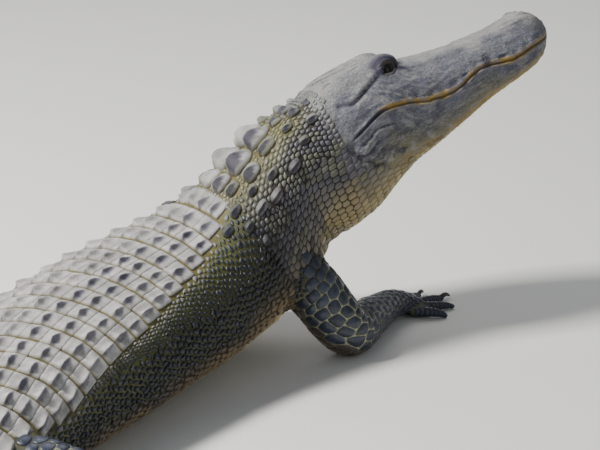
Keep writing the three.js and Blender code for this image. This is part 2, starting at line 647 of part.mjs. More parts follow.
// Hip, knee and ankle of each hind leg, beside the hips
function hindLeg(side) {
  const name = side > 0 ? "left_" : "right_";
  const hip = beside(HIP_S, 0, side * 56, 70);
  const knee = beside(HIP_S, -15, side * 205, 54);
  const ankle = beside(HIP_S, -115, side * 240, 26);
  const yaw = yawAt(HIP_S) + side * 26;
  const palm = stepFrom(ankle, yaw, HIND.palm, 14);
  const stations = [
    { at: hip, wide: 56, deep: 60 },
    { at: mix(hip, knee, 0.5), wide: 54, deep: 56 },
    { at: knee, wide: 40, deep: 42 },
    { at: mix(knee, ankle, 0.5), wide: 34, deep: 34 },
    { at: ankle, wide: 26, deep: 24 },
    { at: palm, wide: HIND.wide, deep: 14 },
  ];
  limbParts([name + "thigh", name + "shank", name + "foot"], stations, [2, 4], yaw, side, HIND, ARM_DARK);
}
hindLeg(-1);
hindLeg(1);

const alligator = new THREE.Group();
alligator.name = "alligator";
for (const { name, body, color, roughness } of nodes) {
  const mesh = body.getMesh();
  const vertices = new Float32Array(mesh.numVert * 3);
  for (let i = 0; i < mesh.numVert; i++)
    vertices.set(mesh.vertProperties.subarray(i * mesh.numProp, i * mesh.numProp + 3), i * 3);
  const geometry = new THREE.BufferGeometry();
  geometry.setAttribute("position", new THREE.BufferAttribute(vertices, 3));
  geometry.setIndex(new THREE.BufferAttribute(mesh.triVerts, 1));
  const piece = new THREE.Mesh(geometry, new THREE.MeshStandardMaterial({ color, roughness, metalness: 0 }));
  piece.name = name;
  alligator.add(piece);
}

export default alligator;
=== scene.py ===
import math

import bpy
import numpy as np
from mathutils import Matrix, Vector
from mathutils.bvhtree import BVHTree
from mathutils.kdtree import KDTree


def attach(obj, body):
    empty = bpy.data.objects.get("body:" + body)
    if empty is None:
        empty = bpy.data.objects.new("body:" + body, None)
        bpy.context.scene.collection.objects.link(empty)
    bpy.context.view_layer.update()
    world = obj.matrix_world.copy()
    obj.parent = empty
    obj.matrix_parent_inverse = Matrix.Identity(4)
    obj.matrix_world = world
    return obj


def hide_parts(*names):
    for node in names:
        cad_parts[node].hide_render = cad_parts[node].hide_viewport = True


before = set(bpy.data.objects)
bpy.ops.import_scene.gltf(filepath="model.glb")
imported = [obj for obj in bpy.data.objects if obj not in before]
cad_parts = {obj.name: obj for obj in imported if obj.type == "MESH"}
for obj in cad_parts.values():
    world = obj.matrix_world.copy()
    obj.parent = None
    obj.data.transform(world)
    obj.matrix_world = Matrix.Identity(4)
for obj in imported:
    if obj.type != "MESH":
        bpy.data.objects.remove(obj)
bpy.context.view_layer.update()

# American alligator, life size, lying on its belly with the chest and head lifted.
# Sizes are millimetres in the same frame as the model, and are made metres when a mesh is made.
# A place along the body is "s": 0 at the hips, positive towards the head, negative down the tail.
MM = 0.001
FULL_TURN = 2 * np.pi
TAIL_LENGTH = 1290
SHOULDER_S = 700
NECK_END_S = 855
BELLY_S = 190
FLAT_DEPTH = 3
COAT = 1.8
LIMB_COAT = COAT * 0.7
STEP = 5

# Place along the body, half width, height of the back and depth of the belly about the spine
BODY_SIZES = [
    (-1290, 3, 5, 5), (-1180, 8, 15, 12), (-900, 19, 34, 29), (-600, 36, 50, 42), (-300, 60, 62, 56),
    (-150, 80, 74, 66), (-40, 96, 82, 74), (160, 130, 94, 86), (340, 150, 100, 96), (500, 146, 96, 108),
    (620, 132, 87, 126), (700, 118, 83, 140), (780, 106, 78, 148), (855, 96, 72, 118),
]
BACK_ROUND, BELLY_ROUND = 2.15, 2.5
# Place along the body, then where the spine heads in plan, and how far it is lifted
HEADINGS = [(-1290, -75), (-900, -30), (-450, 20), (0, 36), (300, 21), (600, 0), (855, -10)]
LIFTS = [(-1290, 0), (260, 0), (400, 5), (560, 22), (640, 42), (700, 68), (780, 118), (855, 184)]
# Yaw, pitch and roll of the head, in degrees
HEAD_TURN = (-18, 19, -16)
HEAD_TURN_START_S = 480

# Head from the jaw's hind end to the snout's tip: x, then height of the top, half width and height of the
# crown's edge, cheek, lip, side of the lower jaw and its lower edge, and the chin
HEAD_SIZES = [
    (0, 72, 54, 64, 88, 18, 90, -16, 86, -52, 66, -102, -138),
    (42, 84, 52, 80, 88, 28, 93, 1, 91, -38, 66, -86, -128),
    (90, 84, 44, 86, 82, 36, 87, 15, 85, -28, 61, -76, -104),
    (130, 76, 38, 80, 75, 32, 77, 8, 76, -28, 56, -72, -84),
    (165, 63, 30, 60, 67, 26, 70, -4, 68, -32, 50, -68, -74),
    (205, 54, 31, 51, 61, 20, 64, -9, 61, -32, 43, -60, -64),
    (265, 47, 33, 44, 56, 18, 58, 4, 54, -18, 36, -46, -48),
    (320, 45, 34, 42, 53, 14, 55, -5, 50, -19, 31, -38, -39),
    (358, 50, 32, 44, 48, 16, 49, -1, 43, -14, 26, -31, -31),
    (382, 44, 24, 36, 35, 15, 35, 0, 29, -9, 16, -20, -21),
    (398, 24, 9, 22, 12, 13, 11, 4, 8, 1, 5, -3, -4),
]
# Ring places round the head: 0 top, 3 right lip, 6 chin, 9 left lip
RING = 12
CHIN_U = 6


def track(rows, column=1):
    """Smooth curve through rows, without overshoot between them."""
    table = np.asarray(rows, float)
    xs = table[:, 0]
    ys = table[:, column]
    slopes = np.diff(ys) / np.diff(xs)
    both = slopes[:-1] * slopes[1:]
    inner = np.where(both > 0, 2 * both / np.where(both > 0, slopes[:-1] + slopes[1:], 1), 0)
    tangents = np.concatenate([slopes[:1], inner, slopes[-1:]])

    def at(x):
        x = np.clip(x, xs[0], xs[-1])
        k = np.clip(np.searchsorted(xs, x, side="right") - 1, 0, len(slopes) - 1)
        span = xs[k + 1] - xs[k]
        t = (x - xs[k]) / span
        rise = t * t * (3 - 2 * t)
        bend = span * t * (1 - t) * ((1 - t) * tangents[k] - t * tangents[k + 1])
        return ys[k] * (1 - rise) + ys[k + 1] * rise + bend

    return at


half_at, back_at, belly_at = (track(BODY_SIZES, k) for k in (1, 2, 3))
yaw_at = track(HEADINGS)
lift_at = track(LIFTS)
HEAD_TRACKS = [track(HEAD_SIZES, k) for k in range(1, len(HEAD_SIZES[0]))]
lip_at, lip_z_at, jaw_z_at = (HEAD_TRACKS[k] for k in (5, 6, 8))


def smooth(x, low, high):
    """0 at low, 1 at high, and smooth between."""
    t = np.clip((x - low) / (high - low), 0, 1)
    return t * t * (3 - 2 * t)


def bell(x, width):
    """1 at 0, and less to both sides."""
    return np.exp(-((x / width) ** 2))


def unit(v):
    return v / np.maximum(np.linalg.norm(v, axis=-1, keepdims=True), 1e-12)


def paired(a, b):
    """Two arrays of numbers, of one common shape."""
    return np.broadcast_arrays(np.asarray(a, float), np.asarray(b, float))


def above_floor(points):
    """The points, none of them under the floor."""
    points[..., 2] = np.maximum(points[..., 2], 0)
    return points


def height_at(s):
    return belly_at(s) - FLAT_DEPTH + lift_at(s)


def walk_spine():
    """Plan position of the spine at every step, walked both ways from the middle of the belly's flat."""
    points = {BELLY_S: (0.0, 0.0)}
    for way, end in ((1, NECK_END_S), (-1, -TAIL_LENGTH)):
        for s in range(BELLY_S, end, way * STEP):
            yaw = math.radians(yaw_at(s + way * STEP / 2))
            rise = height_at(s + way * STEP) - height_at(s)
            run = way * math.sqrt(max(0, STEP * STEP - rise * rise))
            x, y = points[s]
            points[s + way * STEP] = (x + run * math.cos(yaw), y + run * math.sin(yaw))
    return np.array([(s, *points[s]) for s in sorted(points)])


SPINE = walk_spine()


def spine_point(s):
    s = np.clip(s, -TAIL_LENGTH, NECK_END_S)
    return np.stack([np.interp(s, SPINE[:, 0], SPINE[:, k]) for k in (1, 2)] + [height_at(s)], -1)


def turned(yaw, pitch, roll):
    """Quaternion (w, x, y, z) of a yaw, then a pitch up, then a roll, in degrees."""
    a, b, c = (np.radians(np.asarray(v, float)) / 2 for v in (yaw, -np.asarray(pitch, float), roll))
    ca, sa, cb, sb, cc, sc = np.cos(a), np.sin(a), np.cos(b), np.sin(b), np.cos(c), np.sin(c)
    return np.stack(np.broadcast_arrays(
        ca * cb * cc + sa * sb * sc, ca * cb * sc - sa * sb * cc,
        ca * sb * cc + sa * cb * sc, sa * cb * cc - ca * sb * sc), -1)


def slerp(a, b, t):
    """Turn a share of the way from one quaternion to another."""
    dot = (a * b).sum(-1, keepdims=True)
    b = np.where(dot < 0, -b, b)
    angle = np.arccos(np.clip(np.abs(dot), 0, 1))
    t = np.asarray(t)[..., None]
    small = angle < 1e-5
    base = np.where(small, 1, np.sin(angle))
    mixed = (np.sin((1 - t) * angle) * a + np.sin(t * angle) * b) / base
    return unit(np.where(small, a, mixed))


def axes_of(q):
    """Rotation matrices of quaternions; column 0 is forward, 1 left, 2 up."""
    w, x, y, z = np.moveaxis(q, -1, 0)
    rows = [
        [1 - 2 * (y * y + z * z), 2 * (x * y - w * z), 2 * (x * z + w * y)],
        [2 * (x * y + w * z), 1 - 2 * (x * x + z * z), 2 * (y * z - w * x)],
        [2 * (x * z - w * y), 2 * (y * z + w * x), 1 - 2 * (x * x + y * y)],
    ]
    return np.stack([np.stack(row, -1) for row in rows], -2)


def body_frame(s):
    """Origin and axes of the body at s."""
    s = np.asarray(s, float)
    along = spine_point(s + STEP) - spine_point(s - STEP)
    pitch = np.degrees(np.arctan2(along[..., 2], np.hypot(along[..., 0], along[..., 1])))
    turn = turned(yaw_at(s), pitch, 0)
    head = np.broadcast_to(turned(*HEAD_TURN), turn.shape)
    return spine_point(s), axes_of(slerp(turn, head, smooth(s, HEAD_TURN_START_S, NECK_END_S)))


HEAD_ORIGIN, HEAD_AXES = body_frame(NECK_END_S)


def in_head(points):
    """From the head's own axes to the model's."""
    return points @ HEAD_AXES.T + HEAD_ORIGIN


def out_of_head(points):
    """From the model's axes to the head's own."""
    return (points - HEAD_ORIGIN) @ HEAD_AXES


def spline(p, t):
    """Point at share t between the middle two of four corners."""
    d = [np.maximum(np.sqrt(np.linalg.norm(p[k + 1] - p[k], axis=-1, keepdims=True)), 1e-4) for k in range(3)]
    a = ((p[1] - p[0]) / d[0] - (p[2] - p[0]) / (d[0] + d[1]) + (p[2] - p[1]) / d[1]) * d[1]
    b = ((p[2] - p[1]) / d[1] - (p[3] - p[1]) / (d[1] + d[2]) + (p[3] - p[2]) / d[2]) * d[1]
    square = -3 * p[1] + 3 * p[2] - 2 * a - b
    cube = 2 * p[1] - 2 * p[2] + a + b
    return p[1] + a * t + square * t * t + cube * t ** 3


def head_outline(x, u):
    """Across and up of the head's outline at x and ring place u."""
    x, u = paired(x, u)
    sizes = [f(x) for f in HEAD_TRACKS]
    right = list(zip(sizes[1:-1:2], sizes[2:-1:2]))
    nil = np.zeros_like(sizes[0])
    corners = [(nil, sizes[0])] + [(-y, z) for y, z in right] + [(nil, sizes[-1])] + right[::-1]
    ring = np.stack([np.stack(p, -1) for p in corners], -2)
    u = np.mod(u, RING)
    i = np.floor(u).astype(int)
    places = [((i + k) % RING)[..., None, None] for k in (-1, 0, 1, 2)]
    around = [np.take_along_axis(ring, place, -2)[..., 0, :] for place in places]
    return spline(around, (u - i)[..., None])


# Outline of the head's hind end, where the neck meets it: angle and distance from the axis
NAPE_U = np.linspace(0, RING, 241)[:-1]
NAPE_RING = head_outline(0, NAPE_U)
NAPE_TURN = np.unwrap(np.arctan2(NAPE_RING[:, 1], NAPE_RING[:, 0]))
NAPE_R = np.linalg.norm(NAPE_RING, axis=1)


def nape_turn(u):
    """Angle about the axis of a ring place at the head's hind end."""
    return np.interp(u, np.append(NAPE_U, RING), np.append(NAPE_TURN, NAPE_TURN[0] + FULL_TURN))


NOISE_CELLS = 32
NOISE = np.random.default_rng(7).random((NOISE_CELLS,) * 3)
SEED_SHIFT = 7.31


def cloud(points, size, seed=0):
    """Smooth noise from 0 to 1 with lumps of about a given size."""
    q = points / size + seed * SEED_SHIFT
    base = np.floor(q).astype(int)
    t = q - base
    t = t * t * (3 - 2 * t)
    total = 0
    for corner in np.ndindex(2, 2, 2):
        c = np.array(corner)
        i = (base + c) % NOISE_CELLS
        total = total + np.prod(np.where(c, t, 1 - t), -1) * NOISE[i[..., 0], i[..., 1], i[..., 2]]
    return total


# Skin folds of the neck and shoulder: place along the body at the back and at the throat, depth, width
FOLDS = [
    (690, 792, 5.5, 8), (714, 822, 3, 7), (664, 752, 4.5, 8), (640, 700, 3, 9), (677, 772, 2.4, 4),
    (703, 808, 2.2, 4), (652, 727, 2.4, 4),
]
FOLD_FROM, FOLD_FULL = 0.30, 0.48


def folds_at(share):
    """Place, depth and width of each fold at a share of the half girth, 0 on the back and 1 below."""
    for top, bottom, depth, width in FOLDS:
        yield top + (bottom - top) * smooth(share, 0.3, 0.95) + 5 * np.sin(share * 17 + top), depth, width


def body_relief(s, share):
    """How far folds press the skin in."""
    total = 0
    for at, depth, width in folds_at(share):
        total = total - depth * bell(s - at, width)
    return total * smooth(share, FOLD_FROM, FOLD_FULL)


def body_radius(s, turn):
    """Distance from the spine to the model's surface; turn is an angle from the left towards the back."""
    c = np.abs(np.cos(turn))
    z = np.sin(turn)
    power = np.where(z > 0, BACK_ROUND, BELLY_ROUND)
    height = np.where(z > 0, back_at(s), belly_at(s))
    flat = ((c / half_at(s)) ** power + (np.abs(z) / height) ** power) ** (-1 / power)
    share = smooth(s, SHOULDER_S, NECK_END_S)
    nape = np.interp(turn, NAPE_TURN, NAPE_R, period=FULL_TURN)
    return flat * (1 - share) + nape * share


# Shares of the coat's depth at the tail's tip and at the head, and where it is full between them
TIP_COAT, HEAD_COAT = 0.3, 0.2
FULL_FROM_S, FULL_TO_S = -1000, 800


def body_point(s, turn):
    """Point of the skin, which lies inside the model's surface by the depth of the scales."""
    s, turn = paired(s, turn)
    share = np.abs(np.mod(turn + np.pi / 2, FULL_TURN) - np.pi) / np.pi
    depth = COAT * (TIP_COAT + (1 - TIP_COAT) * smooth(s, -TAIL_LENGTH, FULL_FROM_S))
    r = body_radius(s, turn) - depth * (1 - (1 - HEAD_COAT) * smooth(s, FULL_TO_S, NECK_END_S))
    r = r + body_relief(s, share)
    origin, axes = body_frame(s)
    local = np.stack([np.zeros_like(r), r * np.cos(turn), r * np.sin(turn)], -1)
    return origin + np.einsum("...ij,...j->...i", axes, local)


def normals_of(point, a, b, da, db):
    """Points and outward normals of a surface given by two coordinates."""
    along = point(a + da, b) - point(a - da, b)
    across = point(a, b + db) - point(a, b - db)
    return point(a, b), unit(np.cross(along, across))


ARC_S = np.arange(-TAIL_LENGTH, NECK_END_S + 1, STEP, float)
ARC_STEPS = 180
ARC_SHARES = np.linspace(0, 1, ARC_STEPS + 1)
ARC_PHI = np.linspace(0, np.pi, ARC_STEPS + 1)


def arc_tables():
    """Half girth at each s, and the angle from the back at even shares of it."""
    r = body_radius(ARC_S[:, None], np.pi / 2 + ARC_PHI[None, :])
    path = np.stack([r * np.cos(ARC_PHI), r * np.sin(ARC_PHI)], -1)
    gone = np.cumsum(np.linalg.norm(np.diff(path, axis=1), axis=-1), 1)
    gone = np.concatenate([np.zeros((len(ARC_S), 1)), gone], 1)
    angles = np.array([np.interp(ARC_SHARES, row / row[-1], ARC_PHI) for row in gone])
    return gone[:, -1], angles


GIRTH, ARC_ANGLES = arc_tables()


def half_girth(s):
    return np.interp(s, ARC_S, GIRTH)


def one_side(share):
    """Share of the half girth counted from the back on either side."""
    return np.where(share > 1, 2 - share, np.abs(share))


def body_turn(s, share):
    """Angle at a share of the half girth, from the back's midline to the right; past 1 it is on the left."""
    s, share = paired(s, share)
    row = np.clip((s + TAIL_LENGTH) / STEP, 0, len(ARC_S) - 1.001)
    col = np.minimum(np.clip(one_side(share), 0, 1) * ARC_STEPS, ARC_STEPS - 0.001)
    i, j = row.astype(int), col.astype(int)
    a, b = row - i, col - j
    low = ARC_ANGLES[i, j] * (1 - b) + ARC_ANGLES[i, j + 1] * b
    high = ARC_ANGLES[i + 1, j] * (1 - b) + ARC_ANGLES[i + 1, j + 1] * b
    phi = low * (1 - a) + high * a
    return np.pi / 2 + np.where(share > 1, FULL_TURN - phi, np.sign(share) * phi)


def body_surface(s, share):
    """Points and normals of the skin at s and a share of the half girth, positive to the right."""
    s = np.clip(s, -TAIL_LENGTH + 3, NECK_END_S - 1)
    return normals_of(body_point, s, body_turn(s, share), 2.0, -0.02)


def smooth_max(a, b, k):
    h = np.clip(0.5 + 0.5 * (a - b) / k, 0, 1)
    return b + (a - b) * h + k * h * (1 - h)


def to_line(points, line):
    """Distance from points to a line of corners, and how far they are above it."""
    best = np.full(points.shape[:-1], 1e9)
    above = np.zeros_like(best)
    for a, b in zip(line[:-1], line[1:]):
        ab = b - a
        t = np.clip(((points - a) @ ab) / (ab @ ab), 0, 1)
        gap = points - (a + t[..., None] * ab)
        d = np.linalg.norm(gap, axis=-1)
        above = np.where(d < best, gap[..., 2], above)
        best = np.minimum(d, best)
    return best, above


def point_tree(points):
    """Search tree of a list of points."""
    tree = KDTree(len(points))
    for i, p in enumerate(points.tolist()):
        tree.insert(p, i)
    tree.balance()
    return tree


def side_name(left):
    return "left" if left else "right"


# The head, in its own axes: x forward from the jaw's hind end, y to the left, z up
EYE = np.array([124.0, 45.0, 62.0])
EYE_R = 15
# Knobs of the right and left side: middle, half sizes, and how softly the skin runs over them
BROW = ((118, 38, 69), (33, 16, 20), 5)
EYEBALL = (tuple(EYE), (18.5,) * 3, 2.5)
NOSTRIL_RIM = ((361, 13, 43), (15, 11, 11), 4)
NOSTRIL = ((364, 13, 46), (11, 6.5, 8))
# Grooves along the ear flap and round the jowl, and the ridge from the eye to the snout
EAR = np.array([
    (110, 60, 62), (98, 68, 58), (82, 74, 53), (64, 79, 46), (52, 82, 42), (42, 82, 43), (30, 79, 48),
], float)
JOWL = np.array([
    (16, 92, -12), (20, 92, -26), (30, 91, -40), (48, 86, -54), (78, 74, -70), (110, 69, -66), (165, 56, -66),
], float)
RIDGE = np.array([(142, 50, 62), (172, 44, 52), (214, 38, 46), (262, 36, 42)], float)
# Creases under the corner of the mouth: depth below the lip, width, and x where each starts and ends
CHEEK_FOLDS = [(15, 2.4, 34, 104), (29, 2.6, 26, 78), (44, 2.2, 40, 84)]
LIP_WAVE = 22
PIT = 9


def far_side(origin_x, turn, centre, sizes, mirror):
    """Where a ray from the head's axis leaves an ellipsoid; 0 where it misses."""
    cx, cy, cz = centre
    ax, ay, az = sizes
    dy, dz = np.cos(turn) / ay, np.sin(turn) / az
    oy, oz = -mirror * cy / ay, -cz / az
    left = 1 - ((origin_x - cx) / ax) ** 2
    a = dy * dy + dz * dz
    b = dy * oy + dz * oz
    inside = b * b - a * (oy * oy + oz * oz - left)
    root = np.sqrt(np.maximum(inside, 0))
    return np.where((inside > 0) & (left > 0), np.maximum((root - b) / a, 0), 0)


def lip_gap(x, y, z):
    """Distance from the line of the lips."""
    return np.hypot(np.abs(y) - lip_at(x), z - lip_z_at(x))


def cheek_folds(x, y, z):
    """Creases of the hide under the corner of the mouth, from 0 to 1."""
    below = lip_z_at(x) - z + 2.2 * np.sin(x / 8.5)
    folds = 0
    for depth, wide, first, last in CHEEK_FOLDS:
        line = bell(below - depth - 0.12 * (x - first), wide)
        folds = folds + line * smooth(x, first - 8, first + 6) * (1 - smooth(x, last - 22, last + 8))
    return folds * smooth(np.abs(y), 20, 40)


def cheek_streaks(x, y, z):
    """Fine wrinkles that run down and back under the eye and along the snout, about 0.5."""
    turn = np.clip((150 - x) / 90, 0, 1) * 0.75
    along = x * np.cos(turn) + z * np.sin(turn)
    across = z * np.cos(turn) - x * np.sin(turn)
    return cloud(np.stack([along * 0.24, y * 0.35, across], -1), 4.2, 12)


def head_relief(x, y, z):
    """How far the skin of the head stands out from its outline, along the ray from the head's axis."""
    side = np.stack([x, np.abs(y), z], -1)
    ear, above = to_line(side, EAR)
    total = 2.6 * bell(ear - 6, 5) * smooth(above, -2, 4)
    total = total - 3.4 * bell(ear, 3.4)
    jowl, over = to_line(side, JOWL)
    total = total - 5.0 * bell(jowl, 3.6) + 2.5 * bell(jowl - 11, 8) * smooth(over, 0, 6)
    from_lip = lip_gap(x, y, z)
    total = total - (3.4 * bell(from_lip, 1.5) - 1.5 * bell(from_lip - 4.5, 2.6)) * smooth(x, 20, 40)
    scallop = np.sin(x / LIP_WAVE * 2 * np.pi) * bell(from_lip - 7, 6) * np.where(z > lip_z_at(x), 0.9, -0.5)
    total = total + scallop * smooth(x, 120, 170) * (1 - smooth(x, 375, 392))
    ridge, _ = to_line(side, RIDGE)
    total = total + 2.2 * bell(ridge, 6) * smooth(x, 140, 155) * (1 - smooth(x, 235, 262))
    calm = 0.12 + 0.88 * smooth(np.linalg.norm(side - EYE, axis=-1), 20, 32)
    streaks = 1.5 * (cheek_streaks(x, y, z) - 0.5) * (1 - smooth(from_lip, 9, 3)) * calm
    total = total - 1.6 * cheek_folds(x, y, z) + streaks
    points = np.stack([x, y, z], -1)
    coarse, medium, fine = (cloud(points, size, seed) - 0.5 for size, seed in ((15, 1), (6.5, 2), (3, 3)))
    rough = coarse + 0.55 * medium + 0.3 * fine
    amount = np.where(z > jaw_z_at(x), 1.5, 0.7)
    return total + rough * amount * calm


def opening(x, y, z):
    """From 0 outside to 1 inside the slit of the lids."""
    dx = (x - EYE[0] - 6.5) / 15
    dz = (z - EYE[2] - 2.5) / (8.8 * np.sqrt(np.maximum(1 - dx * dx, 0.02)))
    return (1 - smooth(dx * dx + dz * dz * 0.9, 0.7, 1.15)) * (np.abs(y) > EYE[1] + 4)


def nostril(x, y, z):
    """How deep the skin sinks at the nostrils."""
    (nx, ny, _), (ax, ay, _) = NOSTRIL
    hole = 1 - smooth(((x - nx) / ax) ** 2 + ((np.abs(y) - ny - 0.35 * (x - nx)) / ay) ** 2, 0.25, 0.7)
    return hole * PIT * (z > 25)


def head_local(x, u):
    """Point of the head's skin in the head's own axes."""
    x, u = paired(x, u)
    flat = head_outline(x, u)
    y, z = flat[..., 0], flat[..., 1]
    turn = np.arctan2(z, y)
    r = np.hypot(y, z)
    mirror = np.where(y >= 0, 1, -1)
    for centre, sizes, soft in (BROW, EYEBALL, NOSTRIL_RIM):
        r = smooth_max(r, far_side(x, turn, centre, sizes, mirror), soft)
    r = r + head_relief(x, y, z) * smooth(r, 4, 20) * (0.25 + 0.75 * smooth(x, -2, 12))
    y, z = r * np.cos(turn), r * np.sin(turn)
    r = r - (opening(x, y, z) * PIT + nostril(x, y, z))
    return np.stack([x, r * np.cos(turn), r * np.sin(turn)], -1)


def head_point(x, u):
    return in_head(head_local(x, u))


def head_surface(x, u):
    return normals_of(head_point, np.asarray(x, float), np.asarray(u, float), 1.0, -0.03)


def limb_curve(stations):
    """Smooth line through points, as a function of the share of its stations passed."""
    points = np.asarray(stations, float)
    ring = np.concatenate([[2 * points[0] - points[1]], points, [2 * points[-1] - points[-2]]])

    def at(t):
        t = np.clip(np.asarray(t, float), 0, 1) * (len(points) - 1)
        i = np.minimum(t.astype(int), len(points) - 2)
        return spline([ring[i + k] for k in range(4)], (t - i)[..., None])

    return at


def tube(stations, thin=0):
    """Surface of a rod through stations (point, half width, half depth), by share along and angle round."""
    line = limb_curve([row[0] for row in stations])
    count = len(stations) - 1
    wide, deep = (track([(i, row[k]) for i, row in enumerate(stations)]) for k in (1, 2))

    def at(t, turn):
        t, turn = paired(t, turn)
        centre = line(t)
        along = unit(line(t + 1e-3) - line(t - 1e-3))
        side = np.cross((0, 0, 1), along)
        weak = np.linalg.norm(side, axis=-1, keepdims=True) < 0.2
        spare = np.array([0, 1, 0]) - along[..., 1:2] * along
        side = unit(np.where(weak, spare, side))
        up = np.cross(along, side)
        across = (wide(t * count) - thin) * np.cos(turn)
        over = (deep(t * count) - thin) * np.sin(turn)
        return centre + side * across[..., None] + up * over[..., None]

    return at


def beside(s, ahead, left, z):
    """Point at height z, some way ahead and to the left of the spine at s."""
    x, y, _ = spine_point(s)
    yaw = math.radians(yaw_at(s))
    c, k = math.cos(yaw), math.sin(yaw)
    return np.array([x + ahead * c - left * k, y + ahead * k + left * c, z])


def step_from(point, yaw, distance, z):
    a = math.radians(yaw)
    return np.array([point[0] + distance * math.cos(a), point[1] + distance * math.sin(a), z])


# Feet: palm's length and half width, web's share, then each toe's angle, length and whether it has a claw
FORE = dict(
    palm=46, wide=25, web=0.4, toes=[(42, 78, 1), (20, 100, 1), (0, 112, 1), (-20, 104, 0), (-42, 82, 0)])
HIND = dict(palm=84, wide=30, web=0.55, toes=[(20, 152, 1), (7, 174, 1), (-6, 182, 1), (-20, 166, 0)])
PALM_Z = 14
WEB_Z, WEB_THICK = 2, 5
# Half sizes of a toe at its root, knuckle and end, and how its tip goes on: distance ahead, half size
TOE_SIZES = (9, 7.6, 4.6)
TOE_TIP = [(-4, 4.6), (0, 4.1), (3, 1.2)]
TOE_TIP_Z = TOE_SIZES[2] - 1
TOE_COAT = 0.3
CLAW_LENGTH = 16
HIP_S = -45
# Arms of the right side (-1) and the left side (1)
ARMS = {
    -1: dict(shoulder=(462, 22, 170), elbow=(545, -38, 42), wrist=(698, 28, 26), yaw=4),
    1: dict(shoulder=(455, 165, 170), elbow=(405, 262, 46), wrist=(505, 335, 26), yaw=16),
}


def middle(a, b):
    return (np.asarray(a, float) + np.asarray(b, float)) / 2


def foreleg(side):
    arm = ARMS[side]
    shoulder, elbow, wrist = arm["shoulder"], arm["elbow"], arm["wrist"]
    palm = step_from(wrist, arm["yaw"], FORE["palm"], PALM_Z)
    stations = [
        (shoulder, 40, 40), (middle(shoulder, elbow), 42, 44), (elbow, 36, 40),
        (middle(elbow, wrist), 30, 31), (wrist, 25, 21), (palm, FORE["wide"], 13),
    ]
    return dict(name="arm", side=side, stations=stations, wrist=wrist, yaw=arm["yaw"], foot=FORE, voxel=3.3)


def hind_leg(side):
    hip = beside(HIP_S, 0, side * 56, 70)
    knee = beside(HIP_S, -15, side * 205, 54)
    ankle = beside(HIP_S, -115, side * 240, 26)
    yaw = float(yaw_at(HIP_S)) + side * 26
    palm = step_from(ankle, yaw, HIND["palm"], PALM_Z)
    stations = [
        (hip, 56, 60), (middle(hip, knee), 54, 56), (knee, 40, 42),
        (middle(knee, ankle), 34, 34), (ankle, 26, 24), (palm, HIND["wide"], 14),
    ]
    return dict(name="leg", side=side, stations=stations, wrist=ankle, yaw=yaw, foot=HIND, voxel=4.0)


LIMBS = [foreleg(-1), foreleg(1), hind_leg(-1), hind_leg(1)]


def toe_lines(limb):
    """Each toe's heading, length, claw and its three stations."""
    palm, wrist = limb["foot"]["palm"], limb["wrist"]
    rows = []
    for angle, length, claw in limb["foot"]["toes"]:
        heading = limb["yaw"] - limb["side"] * angle
        root = step_from(wrist, heading, palm * 0.55, TOE_SIZES[0] + 3)
        knuckle = step_from(wrist, heading, (palm + length) / 2, TOE_SIZES[1] + 1)
        tip = step_from(wrist, heading, length, TOE_TIP_Z)
        rows.append((heading, length, claw, [root, knuckle, tip]))
    return rows


def toe_tube(line):
    return tube([(p, size, size) for p, size in zip(line, TOE_SIZES)], TOE_COAT)


class Shape:
    """Points, faces, colours and map places gathered into one mesh."""

    def __init__(self):
        self.points, self.tints, self.spots, self.loops, self.sizes = [], [], [], [], []
        self.count = 0

    def add(self, points, pattern, tints=0.0, spots=0.0):
        """Adds n like bodies of v points each, with the faces of the pattern on each."""
        points = np.asarray(points, float)
        points = points.reshape((-1,) + points.shape[-2:])
        n, v = points.shape[:2]
        flat = np.concatenate([np.asarray(face) for face in pattern])
        starts = self.count + v * np.arange(n)[:, None]
        self.points.append(points.reshape(-1, 3))
        self.tints.append(np.broadcast_to(tints, (n, v, 3)).reshape(-1, 3))
        self.spots.append(np.broadcast_to(spots, (n, v, 2)).reshape(-1, 2))
        self.loops.append((flat[None, :] + starts).ravel())
        self.sizes.append(np.tile([len(face) for face in pattern], n))
        self.count += n * v

    def object(self, name):
        made = bpy.data.meshes.new(name)
        points, loops, sizes = (np.concatenate(v) for v in (self.points, self.loops, self.sizes))
        made.vertices.add(len(points))
        made.vertices.foreach_set("co", (points * MM).ravel())
        made.loops.add(len(loops))
        made.loops.foreach_set("vertex_index", loops.astype(np.int32))
        made.polygons.add(len(sizes))
        made.polygons.foreach_set("loop_start", np.concatenate([[0], np.cumsum(sizes)[:-1]]).astype(np.int32))
        made.update(calc_edges=True)
        return linked(name, made)

    def painted(self, name, material):
        """The finished piece, with its colours."""
        piece = self.object(name)
        paint(piece.data, np.concatenate(self.tints))
        return finished(piece, material)

    def coat(self, name, material):
        """The finished piece, with its colours and the coat's map."""
        piece = self.painted(name, material)
        uv = piece.data.uv_layers.new(name="OFBake")
        spots = np.concatenate(self.spots)[np.concatenate(self.loops)]
        uv.data.foreach_set("uv", spots.astype(np.float32).ravel())
        return piece


def linked(name, data):
    piece = bpy.data.objects.new(name, data)
    bpy.context.scene.collection.objects.link(piece)
    return piece


def paint(mesh, tints, marks=0.0):
    """Stores the colour of each point, and in its alpha how strongly the head's markings show there."""
    layer = mesh.attributes.new("tint", "FLOAT_COLOR", "POINT")
    marks = np.broadcast_to(marks, len(tints))
    layer.data.foreach_set("color", np.column_stack([tints, marks]).astype(np.float32).ravel())


def finished(piece, material):
    piece.data.shade_smooth()
    piece.data.materials.clear()
    piece.data.materials.append(material)
    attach(piece, "root")
    return piece


def fan(middle_point, start, n):
    """Triangles from a middle point to the n points of a closed ring."""
    return [(middle_point, start + i, start + (i + 1) % n) for i in range(n)]


def band(a, b, n):
    """Faces between two closed rings of n points, which start at a and b."""
    return [(a + i, a + (i + 1) % n, b + (i + 1) % n, b + i) for i in range(n)]


